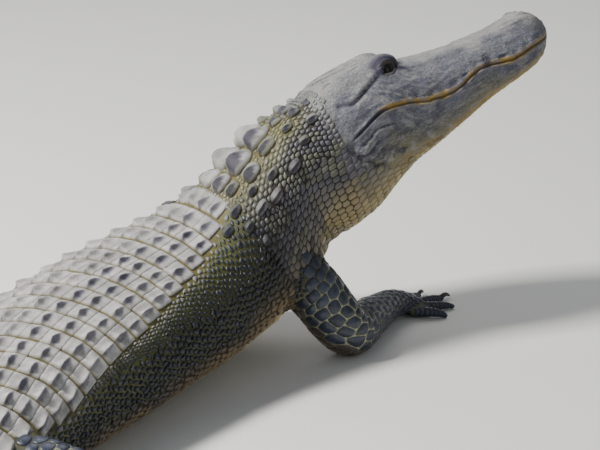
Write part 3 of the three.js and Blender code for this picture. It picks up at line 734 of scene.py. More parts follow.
def tube_faces(rows, n, start=0, caps=True):
    """Faces of rings of n points, with the last two points as the caps' middles."""
    faces = []
    for k in range(rows - 1):
        faces += band(start + k * n, start + (k + 1) * n, n)
    if caps:
        end = start + rows * n
        faces += [(end, start + (i + 1) % n, start + i) for i in range(n)]
        faces += fan(end + 1, end - n, n)
    return faces


def flipped(faces):
    return [face[::-1] for face in faces]


def add_tube(shape, at, rows, n):
    t = np.linspace(0, 1, rows)[:, None]
    turn = np.linspace(0, FULL_TURN, n, endpoint=False)[None, :]
    rings = at(t, turn)
    points = np.concatenate([rings.reshape(-1, 3), rings[[0, -1]].mean(1)])
    shape.add(points, flipped(tube_faces(rows, n)))


# Columns of points round the head, closer beside the lips; the body takes every fourth one
COARSE = 4
HEAD_COLUMN = 1 / 21
LIP_EXTRA = np.array([0.03, 0.07, 0.12, 0.18])
LIP_CLEAR = 0.2
# Rings of the skin: start, end and pitch in s on the body, and in x on the head
BODY_RINGS = [(-1288, -1100, 8), (-1100, 640, 12), (640, 852, 7)]
HEAD_RINGS = [(0, 160, 1.8), (160, 396, 2.3)]
SNOUT_RINGS = [396.5, 397.8]
ROUND_FROM_S = 560


def head_columns():
    base = list(np.arange(0, RING, HEAD_COLUMN))
    for lip in (3, 9):
        base = [u for u in base if abs(u - lip) > LIP_CLEAR]
        base += [lip] + [lip + k * e for e in LIP_EXTRA for k in (-1, 1)]
    columns = np.unique(np.round(base, 4))
    return columns[:len(columns) // COARSE * COARSE]


def joining_faces(n, a, b):
    """Faces between a ring of n points that starts at a and one of COARSE times n that starts at b."""
    faces = []
    for i in range(n):
        j, fine = (i + 1) % n, [b + (COARSE * i + step) % (COARSE * n) for step in range(COARSE + 1)]
        half = COARSE // 2
        faces += [(a + i, fine[step + 1], fine[step]) for step in range(half)]
        faces += [(a + i, a + j, fine[half])]
        faces += [(a + j, fine[step + 1], fine[step]) for step in range(half, COARSE)]
    return faces


def skin_trunk():
    """One closed tube from the tail's tip to the snout's tip."""
    columns = head_columns()
    coarse = columns[::COARSE]
    along = np.concatenate([np.arange(*row) for row in BODY_RINGS]).astype(float)
    share = smooth(along, ROUND_FROM_S, NECK_END_S)[:, None]
    turns = (np.pi / 2 + coarse * np.pi / 6)[None, :] * (1 - share) + nape_turn(coarse)[None, :] * share
    body = body_point(along[:, None], turns)
    xs = np.concatenate([np.arange(*row) for row in HEAD_RINGS] + [SNOUT_RINGS])
    head = head_point(xs[:, None], columns[None, :])
    n, m = len(coarse), len(columns)
    points = np.concatenate([body.reshape(-1, 3), head.reshape(-1, 3), [body[0].mean(0), head[-1].mean(0)]])
    end, neck = len(points), len(along) * n
    faces = tube_faces(len(along), n, caps=False) + joining_faces(n, neck - n, neck)
    faces += tube_faces(len(xs), m, neck, caps=False)
    faces += [(end - 2, (i + 1) % n, i) for i in range(n)] + fan(end - 1, end - 2 - m, m)
    shape = Shape()
    shape.add(above_floor(points), faces)
    return shape.object("skin"), (along, coarse, body), (xs, columns, head)


def web_plan(limb, last, following):
    """Outline in plan of the web between two toes."""
    foot = limb["foot"]
    start, web = foot["palm"] * 0.7, foot["web"]

    def reach(toe, share):
        return start + (toe[1] - start) * share

    root = foot["palm"] * 0.6
    between = (last[0] + following[0]) / 2
    rows = [
        (last[0], root), (last[0], reach(last, web + 0.15)),
        ((last[0] + between) / 2, reach(last, web - 0.02)), (between, reach(last, web - 0.1)),
        ((following[0] + between) / 2, reach(following, web - 0.02)),
        (following[0], reach(following, web + 0.15)), (following[0], root),
    ]
    return np.array([step_from(limb["wrist"], yaw, distance, 0) for yaw, distance in rows])


def limb_object(limb):
    """A limb with its foot, remeshed into one smooth skin."""
    shape = Shape()
    add_tube(shape, tube(limb["stations"], LIMB_COAT), 60, 36)
    toes = toe_lines(limb)
    for heading, length, _, line in toes:
        add_tube(shape, toe_tube(line), 16, 14)
        tip = []
        for ahead, size in TOE_TIP:
            tip.append((step_from(limb["wrist"], heading, length + ahead, TOE_TIP_Z), size, size))
        add_tube(shape, tube(tip), 8, 14)
    for last, following in zip(toes[:-1], toes[1:]):
        plan = web_plan(limb, last, following)
        n = len(plan)
        rings = [plan + (0, 0, z) for z in (WEB_Z, WEB_Z + WEB_THICK)]
        shape.add(np.concatenate(rings), band(0, n, n) + [tuple(range(n))[::-1], tuple(range(n, 2 * n))])
    piece = shape.object("limb")
    remesh = piece.modifiers.new("remesh", "REMESH")
    remesh.mode = "VOXEL"
    remesh.voxel_size = limb["voxel"] * MM
    soften = piece.modifiers.new("soften", "SMOOTH")
    soften.factor = 0.5
    soften.iterations = 3
    return applied(piece)


def applied(piece):
    """The piece with its modifiers made part of its mesh."""
    graph = bpy.context.evaluated_depsgraph_get()
    mesh = bpy.data.meshes.new_from_object(piece.evaluated_get(graph))
    piece.modifiers.clear()
    piece.data = mesh
    return piece


def read(items, key, width, kind=float):
    """Numbers of all items of a mesh's list, in rows of a given width."""
    flat = np.empty(len(items) * width, kind)
    items.foreach_get(key, flat)
    return flat.reshape(-1, width)


def points_of(mesh):
    return read(mesh.vertices, "co", 3) / MM


def set_points(mesh, points):
    mesh.vertices.foreach_set("co", (points * MM).ravel())
    mesh.update()


def relaxed(values, edges, weight, rounds):
    """Values of points moved towards the mean of their neighbours, as far as each point's weight says."""
    a, b = edges[:, 0], edges[:, 1]
    size = len(values)
    count = np.bincount(edges.ravel(), minlength=size)[:, None]
    for _ in range(rounds):
        total = np.stack([np.bincount(a, v[b], size) + np.bincount(b, v[a], size) for v in values.T], -1)
        values = values + (total / np.maximum(count, 1) - values) * weight[:, None]
    return values


def tree_of(mesh):
    return BVHTree.FromPolygons(points_of(mesh).tolist(), [tuple(p.vertices) for p in mesh.polygons])


def depth_near(points, tree, reach):
    """Distance to a surface, or reach where it is further."""
    out = np.full(len(points), float(reach))
    for i, p in enumerate(points):
        hit = tree.find_nearest(p, reach)
        if hit[3] is not None:
            out[i] = hit[3]
    return out


# Softening where a limb joins the trunk: how far it reaches from the crease, and round the limb's root
FILLET, FILLET_FULL = 26, 6
FILLET_ROUNDS, FILLET_WEIGHT = 30, 0.6
ROOT_REACH = 190


def joined(trunk, piece):
    """Makes a limb part of the trunk."""
    cut = trunk.modifiers.new("join", "BOOLEAN")
    cut.operation = "UNION"
    cut.solver = "MANIFOLD"
    cut.object = piece
    applied(trunk)
    bpy.data.objects.remove(piece)


def whole_skin():
    """Trunk and limbs as one skin, softened where they join, and the rings that its colours are read from."""
    trunk, body_rings, head_rings = skin_trunk()
    trunk_tree = tree_of(trunk.data)
    trees = []
    for piece in [limb_object(limb) for limb in LIMBS]:
        set_points(piece.data, above_floor(points_of(piece.data)))
        trees.append(tree_of(piece.data))
        joined(trunk, piece)
    mesh = trunk.data
    points = points_of(mesh)
    weight = np.zeros(len(points))
    for limb, tree in zip(LIMBS, trees):
        near = np.linalg.norm(points - np.asarray(limb["stations"][0][0], float), axis=1) < ROOT_REACH
        near = np.nonzero(near)[0]
        apart = np.maximum(*(depth_near(points[near], surface, FILLET) for surface in (tree, trunk_tree)))
        weight[near] = np.maximum(weight[near], smooth(-apart, -FILLET, -FILLET_FULL))
    points = relaxed(points, read(mesh.edges, "vertices", 2, int), weight * FILLET_WEIGHT, FILLET_ROUNDS)
    set_points(mesh, above_floor(points))
    return trunk, body_rings, head_rings


def colour(red, green, blue):
    """Linear colour of a screen colour given from 0 to 255."""
    c = np.array([red, green, blue], float) / 255
    return np.where(c <= 0.04045, c / 12.92, ((c + 0.055) / 1.055) ** 2.4)


# Colours of plates and scales, and of the skin between them, which the names with GROOVE give
SCUTE = colour(156, 155, 154)
SCUTE_TAIL = colour(84, 84, 78)
# Painted shade on the outer flank of a scute's keel
KEEL_SHADE = colour(66, 62, 86)
BACK_GROOVE = colour(92, 84, 42)
FLANK_TOP = colour(50, 56, 60)
FLANK = colour(22, 27, 40)
FLANK_GROOVE = colour(78, 80, 38)
FLANK_LOW = colour(106, 90, 64)
LOW_GROOVE = colour(36, 30, 24)
BELLY = colour(184, 170, 128)
BELLY_GROOVE = colour(92, 80, 52)
NAPE = colour(104, 106, 84)
NAPE_FRONT = colour(108, 110, 108)
NECK = colour(82, 81, 88)
NECK_GROOVE = colour(34, 29, 27)
THROAT = colour(140, 125, 82)
THROAT_GROOVE = colour(48, 35, 20)
ARM = colour(22, 27, 40)
ARM_PALE = colour(50, 58, 76)
ARM_GROOVE = colour(148, 150, 122)
WEB = colour(62, 68, 54)
TAIL_SIDE = colour(46, 49, 48)
HEAD = colour(92, 94, 106)
HEAD_TOP = colour(134, 133, 132)
HEAD_LOW = colour(100, 98, 84)
VIOLET = colour(34, 30, 52)
OCHRE = colour(150, 120, 42)
# Painted shade for the slit between the lips and the holes of the nostrils
SLIT_SHADE = colour(22, 16, 12)
LIP_PALE = colour(136, 122, 70)
CLAW = colour(30, 27, 24)


def blend(a, b, share):
    return a + (b - a) * np.asarray(share)[..., None]


# Half width of the shield of scutes on the back
SHIELD = track([
    (-1290, 6), (-900, 22), (-700, 30), (-500, 40), (-300, 58), (-120, 84), (0, 112), (100, 130), (300, 130),
    (420, 114), (520, 96), (600, 76), (640, 62), (700, 50), (790, 60), (855, 60),
])
# Length that the half girth stands for where the colours' noise is read
HALF_GIRTH_NOISE = 400


def shield_share(s):
    return SHIELD(s) / half_girth(s)


def fold_share(s, share):
    """From 0 to 1 in the bottoms of the folds of the neck, where shade is painted."""
    total = 0 * s
    for at, depth, width in folds_at(share):
        total = np.maximum(total, bell(s - at, width * 0.8) * min(depth / 4, 1))
    return total * smooth(share, FOLD_FROM, FOLD_FULL)


def trunk_tints(s, share, lump):
    """Colours of the scales and grooves of the trunk and tail."""
    edge = shield_share(s)
    side = smooth(share, edge - 0.02, edge + 0.06)
    low = smooth(share + 0.12 * lump, 0.52, 0.68)
    under = smooth(share, 0.66, 0.76)
    tail = smooth(-s, 60, 420)
    uneven = share + 0.1 * lump
    dark = blend(FLANK_TOP, FLANK, smooth(uneven, edge + 0.03, edge + 0.13))
    plate = blend(blend(SCUTE, SCUTE_TAIL, tail), blend(dark, TAIL_SIDE, tail), side)
    plate = blend(blend(plate, FLANK_LOW, low * (1 - 0.6 * tail)), BELLY, under * (1 - 0.35 * tail))
    deep = blend(FLANK_GROOVE, FLANK_GROOVE * 0.45, smooth(uneven, edge + 0.05, edge + 0.16))
    groove = blend(BACK_GROOVE, deep, side)
    groove = blend(blend(groove, LOW_GROOVE, low), BELLY_GROOVE, under)
    return plate, blend(groove, groove * 0.5, tail * (1 - under))


def neck_tints(s, share, lump, moss):
    """Colours of the scales and grooves of the neck."""
    nape = blend(NAPE, NAPE_FRONT, smooth(s + 60 * lump, 790, 838))
    plate = blend(nape, blend(NECK, NAPE, moss), smooth(share + 0.2 * lump, 0.16, 0.36))
    plate = blend(plate, THROAT, smooth(share + 0.25 * lump, 0.52, 0.86))
    dark = np.maximum(smooth(share, 0.14, 0.30), 0.8 * smooth(s, 775, 840))
    return plate, blend(blend(BACK_GROOVE, NECK_GROOVE, dark), THROAT_GROOVE, smooth(share, 0.5, 0.8))


def body_tints(s, share):
    """Colours of the scales and of the skin between them, at places on the body."""
    s, share = paired(s, share)
    share = one_side(share)
    place = np.stack([s, share * HALF_GIRTH_NOISE, 0 * s], -1)
    lump = cloud(place, 45, 4) - 0.5
    moss = 0.6 * smooth(cloud(place, 16, 6), 0.45, 0.75)
    neck = smooth(s - 60 * share, 620, 690)
    pairs = zip(trunk_tints(s, share, lump), neck_tints(s, share, lump, moss))
    plate, groove = (blend(on_trunk, on_neck, neck) for on_trunk, on_neck in pairs)
    fold = fold_share(s, share)
    # Painted shade in the bottoms of the neck's folds
    return blend(plate, NECK_GROOVE, 0.8 * fold), blend(groove, NECK_GROOVE, fold)


# The coat's map is an unwrap of the body. Its length lies across, and upwards go the back, right side, belly
# and left side. The chin is beside the neck, and the limbs are above. A plate is a small patch at its place.
MAP_EDGE, MAP_WIDTH, MAP_LENGTH = 0.01, 0.97, 2560
GIRTH_MAP, FIRST_SHARE = 0.3, -0.3
CHIN_MAP, CHIN_START = 0.055, 2150
LIMB_MAP, LIMB_ALONG, LIMB_UP, LIMB_ROUND = 0.245, 0.235, 0.66, 0.16
TOE_MAP, TOE_ACROSS, TOE_UP, TOE_ALONG = 0.045, 0.04, 0.84, 0.15
SPOT_RADIUS = 0.0014


def body_spot(s, share):
    share = np.where(share < FIRST_SHARE, 2 + share, share)
    across, up = MAP_WIDTH * (s + TAIL_LENGTH) / MAP_LENGTH, GIRTH_MAP * (share - FIRST_SHARE)
    return np.stack([MAP_EDGE + across, MAP_EDGE + up], -1)


def head_spot(x, u):
    return np.stack([MAP_EDGE + MAP_WIDTH * (CHIN_START + x) / MAP_LENGTH, MAP_EDGE + CHIN_MAP * (u + 1)], -1)


def cells(rows, cols, point=1.0, jitter=0.1, seed=1, closed=False, shift=1):
    """Rounded outlines (n, 12, 2) of cells with shared, uneven sides, in shares of rows and columns."""
    rng = np.random.default_rng(seed)
    nudge = np.clip(rng.normal(0, jitter, (rows + 2, 2 * cols + 4, 2)), -2 * jitter, 2 * jitter)
    i, j = (v.ravel() for v in np.meshgrid(np.arange(rows), np.arange(cols), indexing="ij"))
    left = 2 * j + (i % 2) * shift
    dip = point / 6
    polygon = []
    for down, right, dp in ((0, 0, dip), (0, 1, -dip), (0, 2, dip), (1, 2, -dip), (1, 1, dip), (1, 0, -dip)):
        h = left + right
        n = nudge[i + down, h % (2 * cols) if closed else h]
        polygon.append(np.stack([i + down + dp + n[:, 0], h / 2 + n[:, 1]], -1))
    polygon = np.stack(polygon, 1)
    after = np.roll(polygon, -1, 1)
    rounded = np.stack([polygon * 0.8 + after * 0.2, polygon * 0.2 + after * 0.8], 2)
    return rounded.reshape(len(i), 12, 2) / (rows, cols)


# Cross-sections of plates: (share of the outline, height), from the root up, then the height of the middle
PEBBLE = ([(1, -1.5), (0.96, 0.8), (0.74, 2.4)], 3.1)
PEBBLE_SMALL = ([(1, -1.2), (0.96, 0.5), (0.72, 1.6)], 2.0)
FLAT_PLATE = ([(1, -1.2), (0.97, 0.5), (0.84, 1.1)], 1.35)
ARM_PLATE = ([(1, -1.2), (0.97, 0.5), (0.86, 1.3)], 1.7)
TAIL_PLATE = ([(1, -1.2), (0.96, 0.6), (0.8, 1.4)], 2.1)
NAPE_PLATE = ([(1, -1.2), (0.95, 0.5), (0.72, 1.4)], 1.8)
TINY = ([(1, -1), (0.95, 0.3), (0.75, 0.8)], 1.0)
# How much of a plate's own colour its rings and its middle show
RING_LEVELS = (0, 0.7, 1, 1)


def ring_pattern(rings, k):
    """Faces of a plate: bands between its rings, the fan on top and the root."""
    faces = []
    for r in range(rings - 1):
        faces += band(r * k, (r + 1) * k, k)
    faces += [(a, b, top) for top, a, b in fan(rings * k, (rings - 1) * k, k)]
    return faces + [tuple(range(k))[::-1]]


class Ground:
    """The finished skin, on which plates near the limbs are laid."""

    def __init__(self, mesh):
        self.tree = tree_of(mesh)

    def laid(self, points, normals, start, fall):
        """Points moved along their normals onto the skin, and how far each had to rise."""
        missed = 99.0
        rise = np.full(points.shape[:-1], missed)
        flat_p, flat_n, flat_r = points.reshape(-1, 3), normals.reshape(-1, 3), rise.reshape(-1)
        for i in range(len(flat_p)):
            begin = flat_p[i] + flat_n[i] * start
            hit = self.tree.ray_cast(begin.tolist(), (-flat_n[i]).tolist(), start + fall)
            if hit[0] is not None and np.dot(hit[1], flat_n[i]) > 0.35:
                flat_r[i] = start - hit[3]
        return points + normals * np.where(rise == missed, 0, rise)[..., None], rise


def faces_out(outline, surface):
    """True if an outline runs anticlockwise seen from outside."""
    points, normals = surface(outline[..., 0], outline[..., 1])
    spokes = points - points.mean(1, keepdims=True)
    area = np.cross(spokes, np.roll(spokes, -1, 1)).sum(1)
    return (area * normals.mean(1)).sum() > 0


# How far from a limb's first and second station plates are laid on the skin
NEAR_STATIONS = (175, 115)
# On a limb and elsewhere: how far above a place the ray to the skin starts, and how far a plate may rise
LIMB_RAY, LIMB_RISE = 9.0, 6.0
BODY_RAY, BODY_RISE = 16.0, 10.0
RAY_FALL, MOST_SINK, MOST_SLOPE = 9.0, -8, 5.5
LEAST_HEIGHT = 0.3


def near_limbs(points):
    """True for bodies of points that lie near the root of a limb."""
    middle_point = points.mean(-2)
    near = np.zeros(middle_point.shape[:-1], bool)
    for limb in LIMBS:
        for (station, *_), reach in zip(limb["stations"], NEAR_STATIONS):
            near |= np.linalg.norm(middle_point - np.asarray(station), axis=-1) < reach
    return near


def lay(points, normals, ground, limb):
    """Lays plates on the skin in place, and says which of them lie well."""
    good = np.ones(len(points), bool)
    if ground is None:
        return good
    ask = good if limb else near_limbs(points)
    start, most = (LIMB_RAY, LIMB_RISE) if limb else (BODY_RAY, BODY_RISE)
    moved, rise = ground.laid(points[ask], normals[ask], start, RAY_FALL)
    points[ask] = moved
    well = (rise.max(1) < most) & (rise.min(1) > MOST_SINK) & (np.ptp(rise, axis=1) < MOST_SLOPE)
    good[ask] = well
    return good


LAID = []


def note_laid(points, marks):
    """Remembers each plate's middle, its map place and its reach, for the filling scales."""
    middle_point = points.mean(1)
    reach = np.linalg.norm(points - middle_point[:, None], axis=-1).max(1)
    LAID.append(np.column_stack([middle_point, marks, reach]))


def plate_field(shape, outline, place, kind, look, seed, ground=None, fill=0.9, vary=0.0, keep=None, tilt=0.0,
                limb=False):
    """Adds a raised plate for each outline. Its shares of rows and columns are turned into places, and kind's
    three functions turn places into points with normals, into colours, and into places on the map."""
    surface, tints, spot = (lambda p, q, f=f: f(*place(p, q)) for f in kind)
    rng = np.random.default_rng(seed)
    rings, peak = look
    k = outline.shape[1]
    outline = outline if faces_out(outline[:1], surface) else outline[:, ::-1]
    centre = outline.mean(1, keepdims=True)
    outline = centre + (outline - centre) * (fill * (1 - vary * rng.random((len(outline), 1, 1))))
    if keep is not None:
        chosen = keep(*place(centre[:, 0, 0], centre[:, 0, 1]))
        outline, centre = outline[chosen], centre[chosen]
    spokes = outline - centre
    where = np.concatenate([centre + spokes * scale for scale, _ in rings] + [centre], 1)
    height = np.concatenate([np.full(k, h) for _, h in rings] + [[peak]])[None, :]
    height = height * (0.75 + 0.5 * rng.random((len(outline), 1)))
    longest = np.maximum(np.abs(spokes[..., 0]).max(1, keepdims=True), 1e-9)
    height = height - tilt * (where[..., 0] - centre[..., 0]) / longest * (height > 0)
    points, normals = surface(where[..., 0], where[..., 1])
    plate, groove = tints(centre[:, 0, 0], centre[:, 0, 1])
    marks = spot(centre[:, 0, 0], centre[:, 0, 1])
    good = lay(points, normals, ground, limb)
    points = above_floor(points + normals * height[..., None])
    good &= points[..., 2].max(1) > LEAST_HEIGHT
    bright = 1 + 0.22 * (rng.random((len(outline), 1, 1)) - 0.5)
    cool = 1 + 0.06 * (rng.random((len(outline), 1, 3)) - 0.5)
    level = np.repeat(RING_LEVELS, [k, k, k, 1])[None, :, None]
    paints = groove[:, None, :] * (1 - level) + plate[:, None, :] * bright * cool * level
    size = np.maximum(np.abs(where - centre).max((1, 2), keepdims=True), 1e-9)
    offset = (where - centre) / size * SPOT_RADIUS
    shape.add(points[good], ring_pattern(len(rings), k), paints[good], (marks[:, None, :] + offset)[good])
    note_laid(points[good], marks[good])


def strip(s_from, s_to, w_from, w_to, side=1):
    """Body places of a field's shares; the limits round the body may be functions of s."""
    def at(p, q):
        s = s_from + (s_to - s_from) * p
        low, high = (w(s) if callable(w) else w for w in (w_from, w_to))
        return s, side * (low + (high - low) * q)
    return at


BODY_KIND = (body_surface, body_tints, body_spot)

# Scutes: a plate with a keel that rises towards the tail. Places along and across are shares of half its size
ALONG = np.array([-1, -0.9, -0.76, -0.6, -0.42, -0.22, 0, 0.24, 0.48, 0.7, 0.86, 1])
ACROSS = np.array([-1, -0.87, -0.66, -0.46, -0.3, -0.18, -0.08, 0, 0.08, 0.18, 0.3, 0.46, 0.66, 0.87, 1])
KEEL_BACK, KEEL_FRONT, KEEL_END = -0.55, 1.1, -1.0


def scute_pattern():
    """Faces of a scute's top, sides and root, and the places of its border."""
    n, m = len(ALONG), len(ACROSS)
    grid = [(a, b) for a in range(n - 1) for b in range(m - 1)]
    faces = [(a * m + b, a * m + b + 1, (a + 1) * m + b + 1, (a + 1) * m + b) for a, b in grid]
    border = [b for b in range(m)] + [a * m + m - 1 for a in range(1, n)]
    border += [(n - 1) * m + b for b in range(m - 2, -1, -1)] + [a * m for a in range(n - 2, 0, -1)]
    k = len(border)
    faces += [(border[(i + 1) % k], border[i], n * m + i, n * m + (i + 1) % k) for i in range(k)]
    return faces + [tuple(range(n * m, n * m + k))[::-1]], border


SCUTE_FACES, SCUTE_BORDER = scute_pattern()
SCUTE_ROOT = 2.2
# A keel wider than this makes the plate an oval dome
DOME_FROM = 0.35
# Place along the body ahead of which the keels carry painted shade
KEEL_SHADE_FROM_S = -60


def scute_places(u, v, s, round_mm, length, width, dome, rng):
    """Places along and round the body of all points of scutes."""
    oval_u, oval_v = u * np.sqrt(1 - 0.4 * v * v), v * np.sqrt(1 - 0.4 * u * u)
    at_u, at_v = np.where(dome, oval_u, u * (1 - 0.03 * v * v)), np.where(dome, oval_v, v)
    at_s = s + at_u * length / 2 + rng.normal(0, 0.8, (len(s), 1))
    return at_s, (round_mm + at_v * width / 2) / half_girth(np.minimum(at_s, NECK_END_S))


def scute_heights(u, v, plate, keel, sharp, dome, outer, edge, wobble, rng):
    """Height of all points of scutes, and how much of it is the keel's."""
    rise = smooth(u, KEEL_FRONT, KEEL_BACK) * smooth(u, KEEL_END, KEEL_BACK)
    round_rise = smooth(u, 1.02, -0.1) * smooth(u, -1.03, -0.45)
    side = np.exp(-((np.abs(outer) / sharp) ** 1.3))
    swell = np.clip(1 - v * v, 0, 1) ** 0.8 * round_rise ** 0.75
    wear = rng.normal(0, 0.2, u.shape) * edge + 1.1 * wobble * edge
    domed = 0.5 * swell + 0.5 * np.exp(-((np.abs(outer) / 0.34) ** 1.2)) * round_rise
    ridge = keel * np.where(dome, domed, side * rise)
    return 0.5 + plate * edge + ridge + wear + 0.6 * (u < -0.5) * edge, ridge


def scute_paints(u, s, share, keel, dome, outer, edge_u, edge_v, wobble, rng):
    """Colours of all points of scutes, pale on top with painted shade beyond the keel, then those of their
    roots.
    """
    n = len(u)
    plate_tint, groove = body_tints(s[:, 0], share)
    pale = dome[:, 0] * smooth(keel[:, 0], 8, 13)
    plate_tint = blend(plate_tint, SCUTE, 0.1 * dome[:, 0] + 0.8 * pale)
    bright = 1 + 0.2 * (rng.random((n, 1, 1)) - 0.5)
    paints = plate_tint[:, None, :] * bright * (0.84 + 0.16 * edge_v + 0.3 * wobble)[..., None]
    # Painted shade on the outer flank of the keel, in a darker colour on the domes
    reach = np.where(dome, 0.62, 0.28) * (0.75 + 0.5 * rng.random((n, 1)))
    reach = reach * (0.35 + 0.65 * smooth(u, 0.8, -0.3))
    shade = smooth(outer, -0.03, 0.05) * (1 - smooth(outer, reach, reach + 0.22))
    shade = shade * (smooth(u, 0.92, 0.25) * smooth(u, -1.0, -0.85))
    shade = shade * np.where(dome, 0.9, 0.5 + 0.4 * rng.random((n, 1)))
    deep = np.where(dome, 0.45, 1.0)[..., None]
    paints = blend(paints, KEEL_SHADE * deep + 0 * paints, shade * (s > KEEL_SHADE_FROM_S))
    rim = np.where(dome, 0.7 * (1 - edge_u * edge_v), 0.85 * (1 - edge_u))
    paints = blend(paints, groove[:, None, :] + 0 * paints, rim)
    return np.concatenate([paints, np.repeat(groove[:, None, :], len(SCUTE_BORDER), 1)], 1)


def add_scutes(shape, rows, seed):
    """Adds scutes from rows of s, distance round, length, width, plate's height, keel, its width and lean."""
    rows = np.asarray(rows, float)
    rng = np.random.default_rng(seed)
    s, round_mm, length, width, plate, keel, sharp, lean = (rows[:, k, None] for k in range(8))
    u, v = (g.ravel()[None, :] + 0 * s for g in np.meshgrid(ALONG, ACROSS, indexing="ij"))
    dome = sharp > DOME_FROM
    at_s, at_w = scute_places(u, v, s, round_mm, length, width, dome, rng)
    points, normals = body_surface(at_s, at_w)
    wobble = cloud(points, 9, seed) - 0.5
    outer = (v - rng.normal(0, 0.09, (len(rows), 1))) * np.where(round_mm < 0, -1, 1) + 0.1 * wobble
    keel = keel * (1 + 0.3 * (rng.random((len(rows), 1)) - 0.5))
    edge_u, edge_v = 1 - smooth(np.abs(u), 0.82, 1), 1 - smooth(np.abs(v), 0.86, 1)
    edge = edge_u * np.where(dome, edge_v, 0.45 + 0.55 * edge_v)
    height, ridge = scute_heights(u, v, plate, keel, sharp, dome, outer, edge, wobble, rng)
    ahead, _ = body_surface(at_s + 4, at_w)
    top = points + normals * height[..., None] - unit(ahead - points) * (lean * ridge)[..., None]
    root = points[:, SCUTE_BORDER] - normals[:, SCUTE_BORDER] * SCUTE_ROOT
    share = round_mm[:, 0] / half_girth(s[:, 0])
    paints = scute_paints(u, s, share, keel, dome, outer, edge_u, edge_v, wobble, rng)
    marks = body_spot(s[:, 0], share)[:, None, :]
    offset = np.stack([u, v], -1)
    offset = np.concatenate([offset, offset[:, SCUTE_BORDER]], 1) * SPOT_RADIUS
    shape.add(np.concatenate([top, root], 1), SCUTE_FACES, paints, marks + offset)
    note_laid(points, marks[:, 0])


# Rows of the trunk, from the front
FIRST_ROW_S = 640
ROW_PITCH = 42
TRUNK_ROW_COUNT = 18
COLUMN_WIDTH = 31


def trunk_rows():
    rows = []
    for k in range(TRUNK_ROW_COUNT):
        s = FIRST_ROW_S - k * ROW_PITCH
        half = float(SHIELD(s))
        cols = max(2, round(half / COLUMN_WIDTH))
        width = half / cols
        for j in range(cols):
            keel = 10.5 - 0.8 * j
            for side in (1, -1):
                place = (s, side * (j + 0.5) * width)
                rows.append((*place, ROW_PITCH * 0.965, width * 1.035, 2.2, keel, 0.22, 0.25))
    return rows


# Tall shields of the nape and the small scutes beside them: s, distance round, length, width, plate, keel,
# its width and its lean
NUCHALS = [
    (764, 21, 44, 38, 4, 19, 0.42, 0.12), (762, 57, 34, 26, 3, 10, 0.38, 0.1),
    (720, 24, 50, 44, 4, 22, 0.42, 0.12), (720, 64, 36, 30, 3, 12, 0.38, 0.1),
    (680, 19, 36, 32, 3.5, 12, 0.40, 0.1), (682, 50, 28, 24, 2.5, 8, 0.36, 0.1),
    (822, 15, 22, 20, 2.5, 8, 0.4, 0.1), (826, 44, 21, 17, 2.5, 7, 0.4, 0.1),
    (840, 76, 22, 15, 2, 6, 0.4, 0.1),
    (801, 62, 20, 15, 2, 6, 0.4, 0.1), (796, 30, 20, 18, 2, 7, 0.4, 0.1), (779, 118, 26, 16, 2, 8, 0.4, 0.1),
    (742, 98, 22, 15, 2, 6, 0.4, 0.1), (726, 124, 28, 17, 2, 9, 0.4, 0.1), (693, 116, 28, 17, 2, 9, 0.4, 0.1),
    (700, 86, 22, 16, 2, 7, 0.4, 0.1), (657, 82, 30, 18, 2, 9, 0.4, 0.1), (655, 116, 24, 15, 2, 7, 0.4, 0.1),
    (618, 92, 28, 17, 2, 7, 0.4, 0.1), (812, 98, 20, 14, 2, 6, 0.4, 0.1), (852, 42, 18, 14, 1.5, 5, 0.4, 0.1),
    (664, 150, 18, 13, 2, 5, 0.4, 0.1),
]

# Upright scutes of the tail: two crests that close to one
TAIL_FROM_S = -120
CREST_PITCH = 36
CREST_JOIN_S = -650
CREST_END_S = -1245
# Place along the tail, then height of the crest and its distance from the midline
CREST_ROWS = [
    (-1250, 8, 0), (-1100, 20, 0), (-900, 32, 0), (-700, 36, 4), (-500, 30, 24), (-300, 22, 42),
    (-120, 13, 56),
]
crest_height = track(CREST_ROWS, 1)
crest_round = track(CREST_ROWS, 2)


def crest_rows():
    rows = []
    for s in range(TAIL_FROM_S, CREST_END_S, -CREST_PITCH):
        paired_crest = s > CREST_JOIN_S
        width = 26 if paired_crest else 16 + 10 * smooth(s, -1250, -700)
        keel = float(crest_height(s))
        for side in (1, -1) if paired_crest else (0,):
            rows.append((s, side * float(crest_round(s)), CREST_PITCH * 1.02, width, 2, keel, 0.24, 0.42))
    return rows


def inner_tail_rows():
    """Flat scutes between the two crests."""
    rows = []
    for s in range(TAIL_FROM_S, CREST_JOIN_S + 60, -CREST_PITCH):
        inner = float(crest_round(s)) - 13
        if inner < 7:
            continue
        cols = 2 if inner > 26 else 1
        width = inner / cols
        for j in range(cols):
            for side in (1, -1):
                place = (s, side * (j + 0.5) * inner / cols)
                rows.append((*place, CREST_PITCH * 0.95, width * 0.94, 1.8, 3, 0.3, 0.2))
    return rows


def back_scutes(material):
    shape = Shape()
    add_scutes(shape, trunk_rows() + inner_tail_rows(), 11)
    return shape.coat("scutes_back", material)


def tall_scutes(material):
    shape = Shape()
    pairs = [row for s, r, *rest in NUCHALS for row in ((s, r, *rest), (s, -r, *rest))]
    add_scutes(shape, pairs, 12)
    add_scutes(shape, crest_rows(), 13)
    return shape.coat("scutes_nape_and_tail", material)


def clear_of_nuchals(s, share):
    """True where a small scale doesn't lie under a tall scute of the nape."""
    round_mm = one_side(share) * half_girth(np.minimum(s, NECK_END_S))
    free = np.ones(s.shape, bool)
    for at, r, length, width, *_ in NUCHALS:
        free &= ((s - at) / (length / 2 + 1)) ** 2 + ((round_mm - r) / (width / 2 + 1)) ** 2 > 1.0
    return free


# Fields of scales of the trunk lie between these places along it, and between these shares of the half girth
TRUNK_FROM_S, TRUNK_TO_S = -128, 668
FLANK_TOP_SHARE, FLANK_MIDDLE_SHARE, FLANK_LOW_SHARE = 0.40, 0.555, 0.70


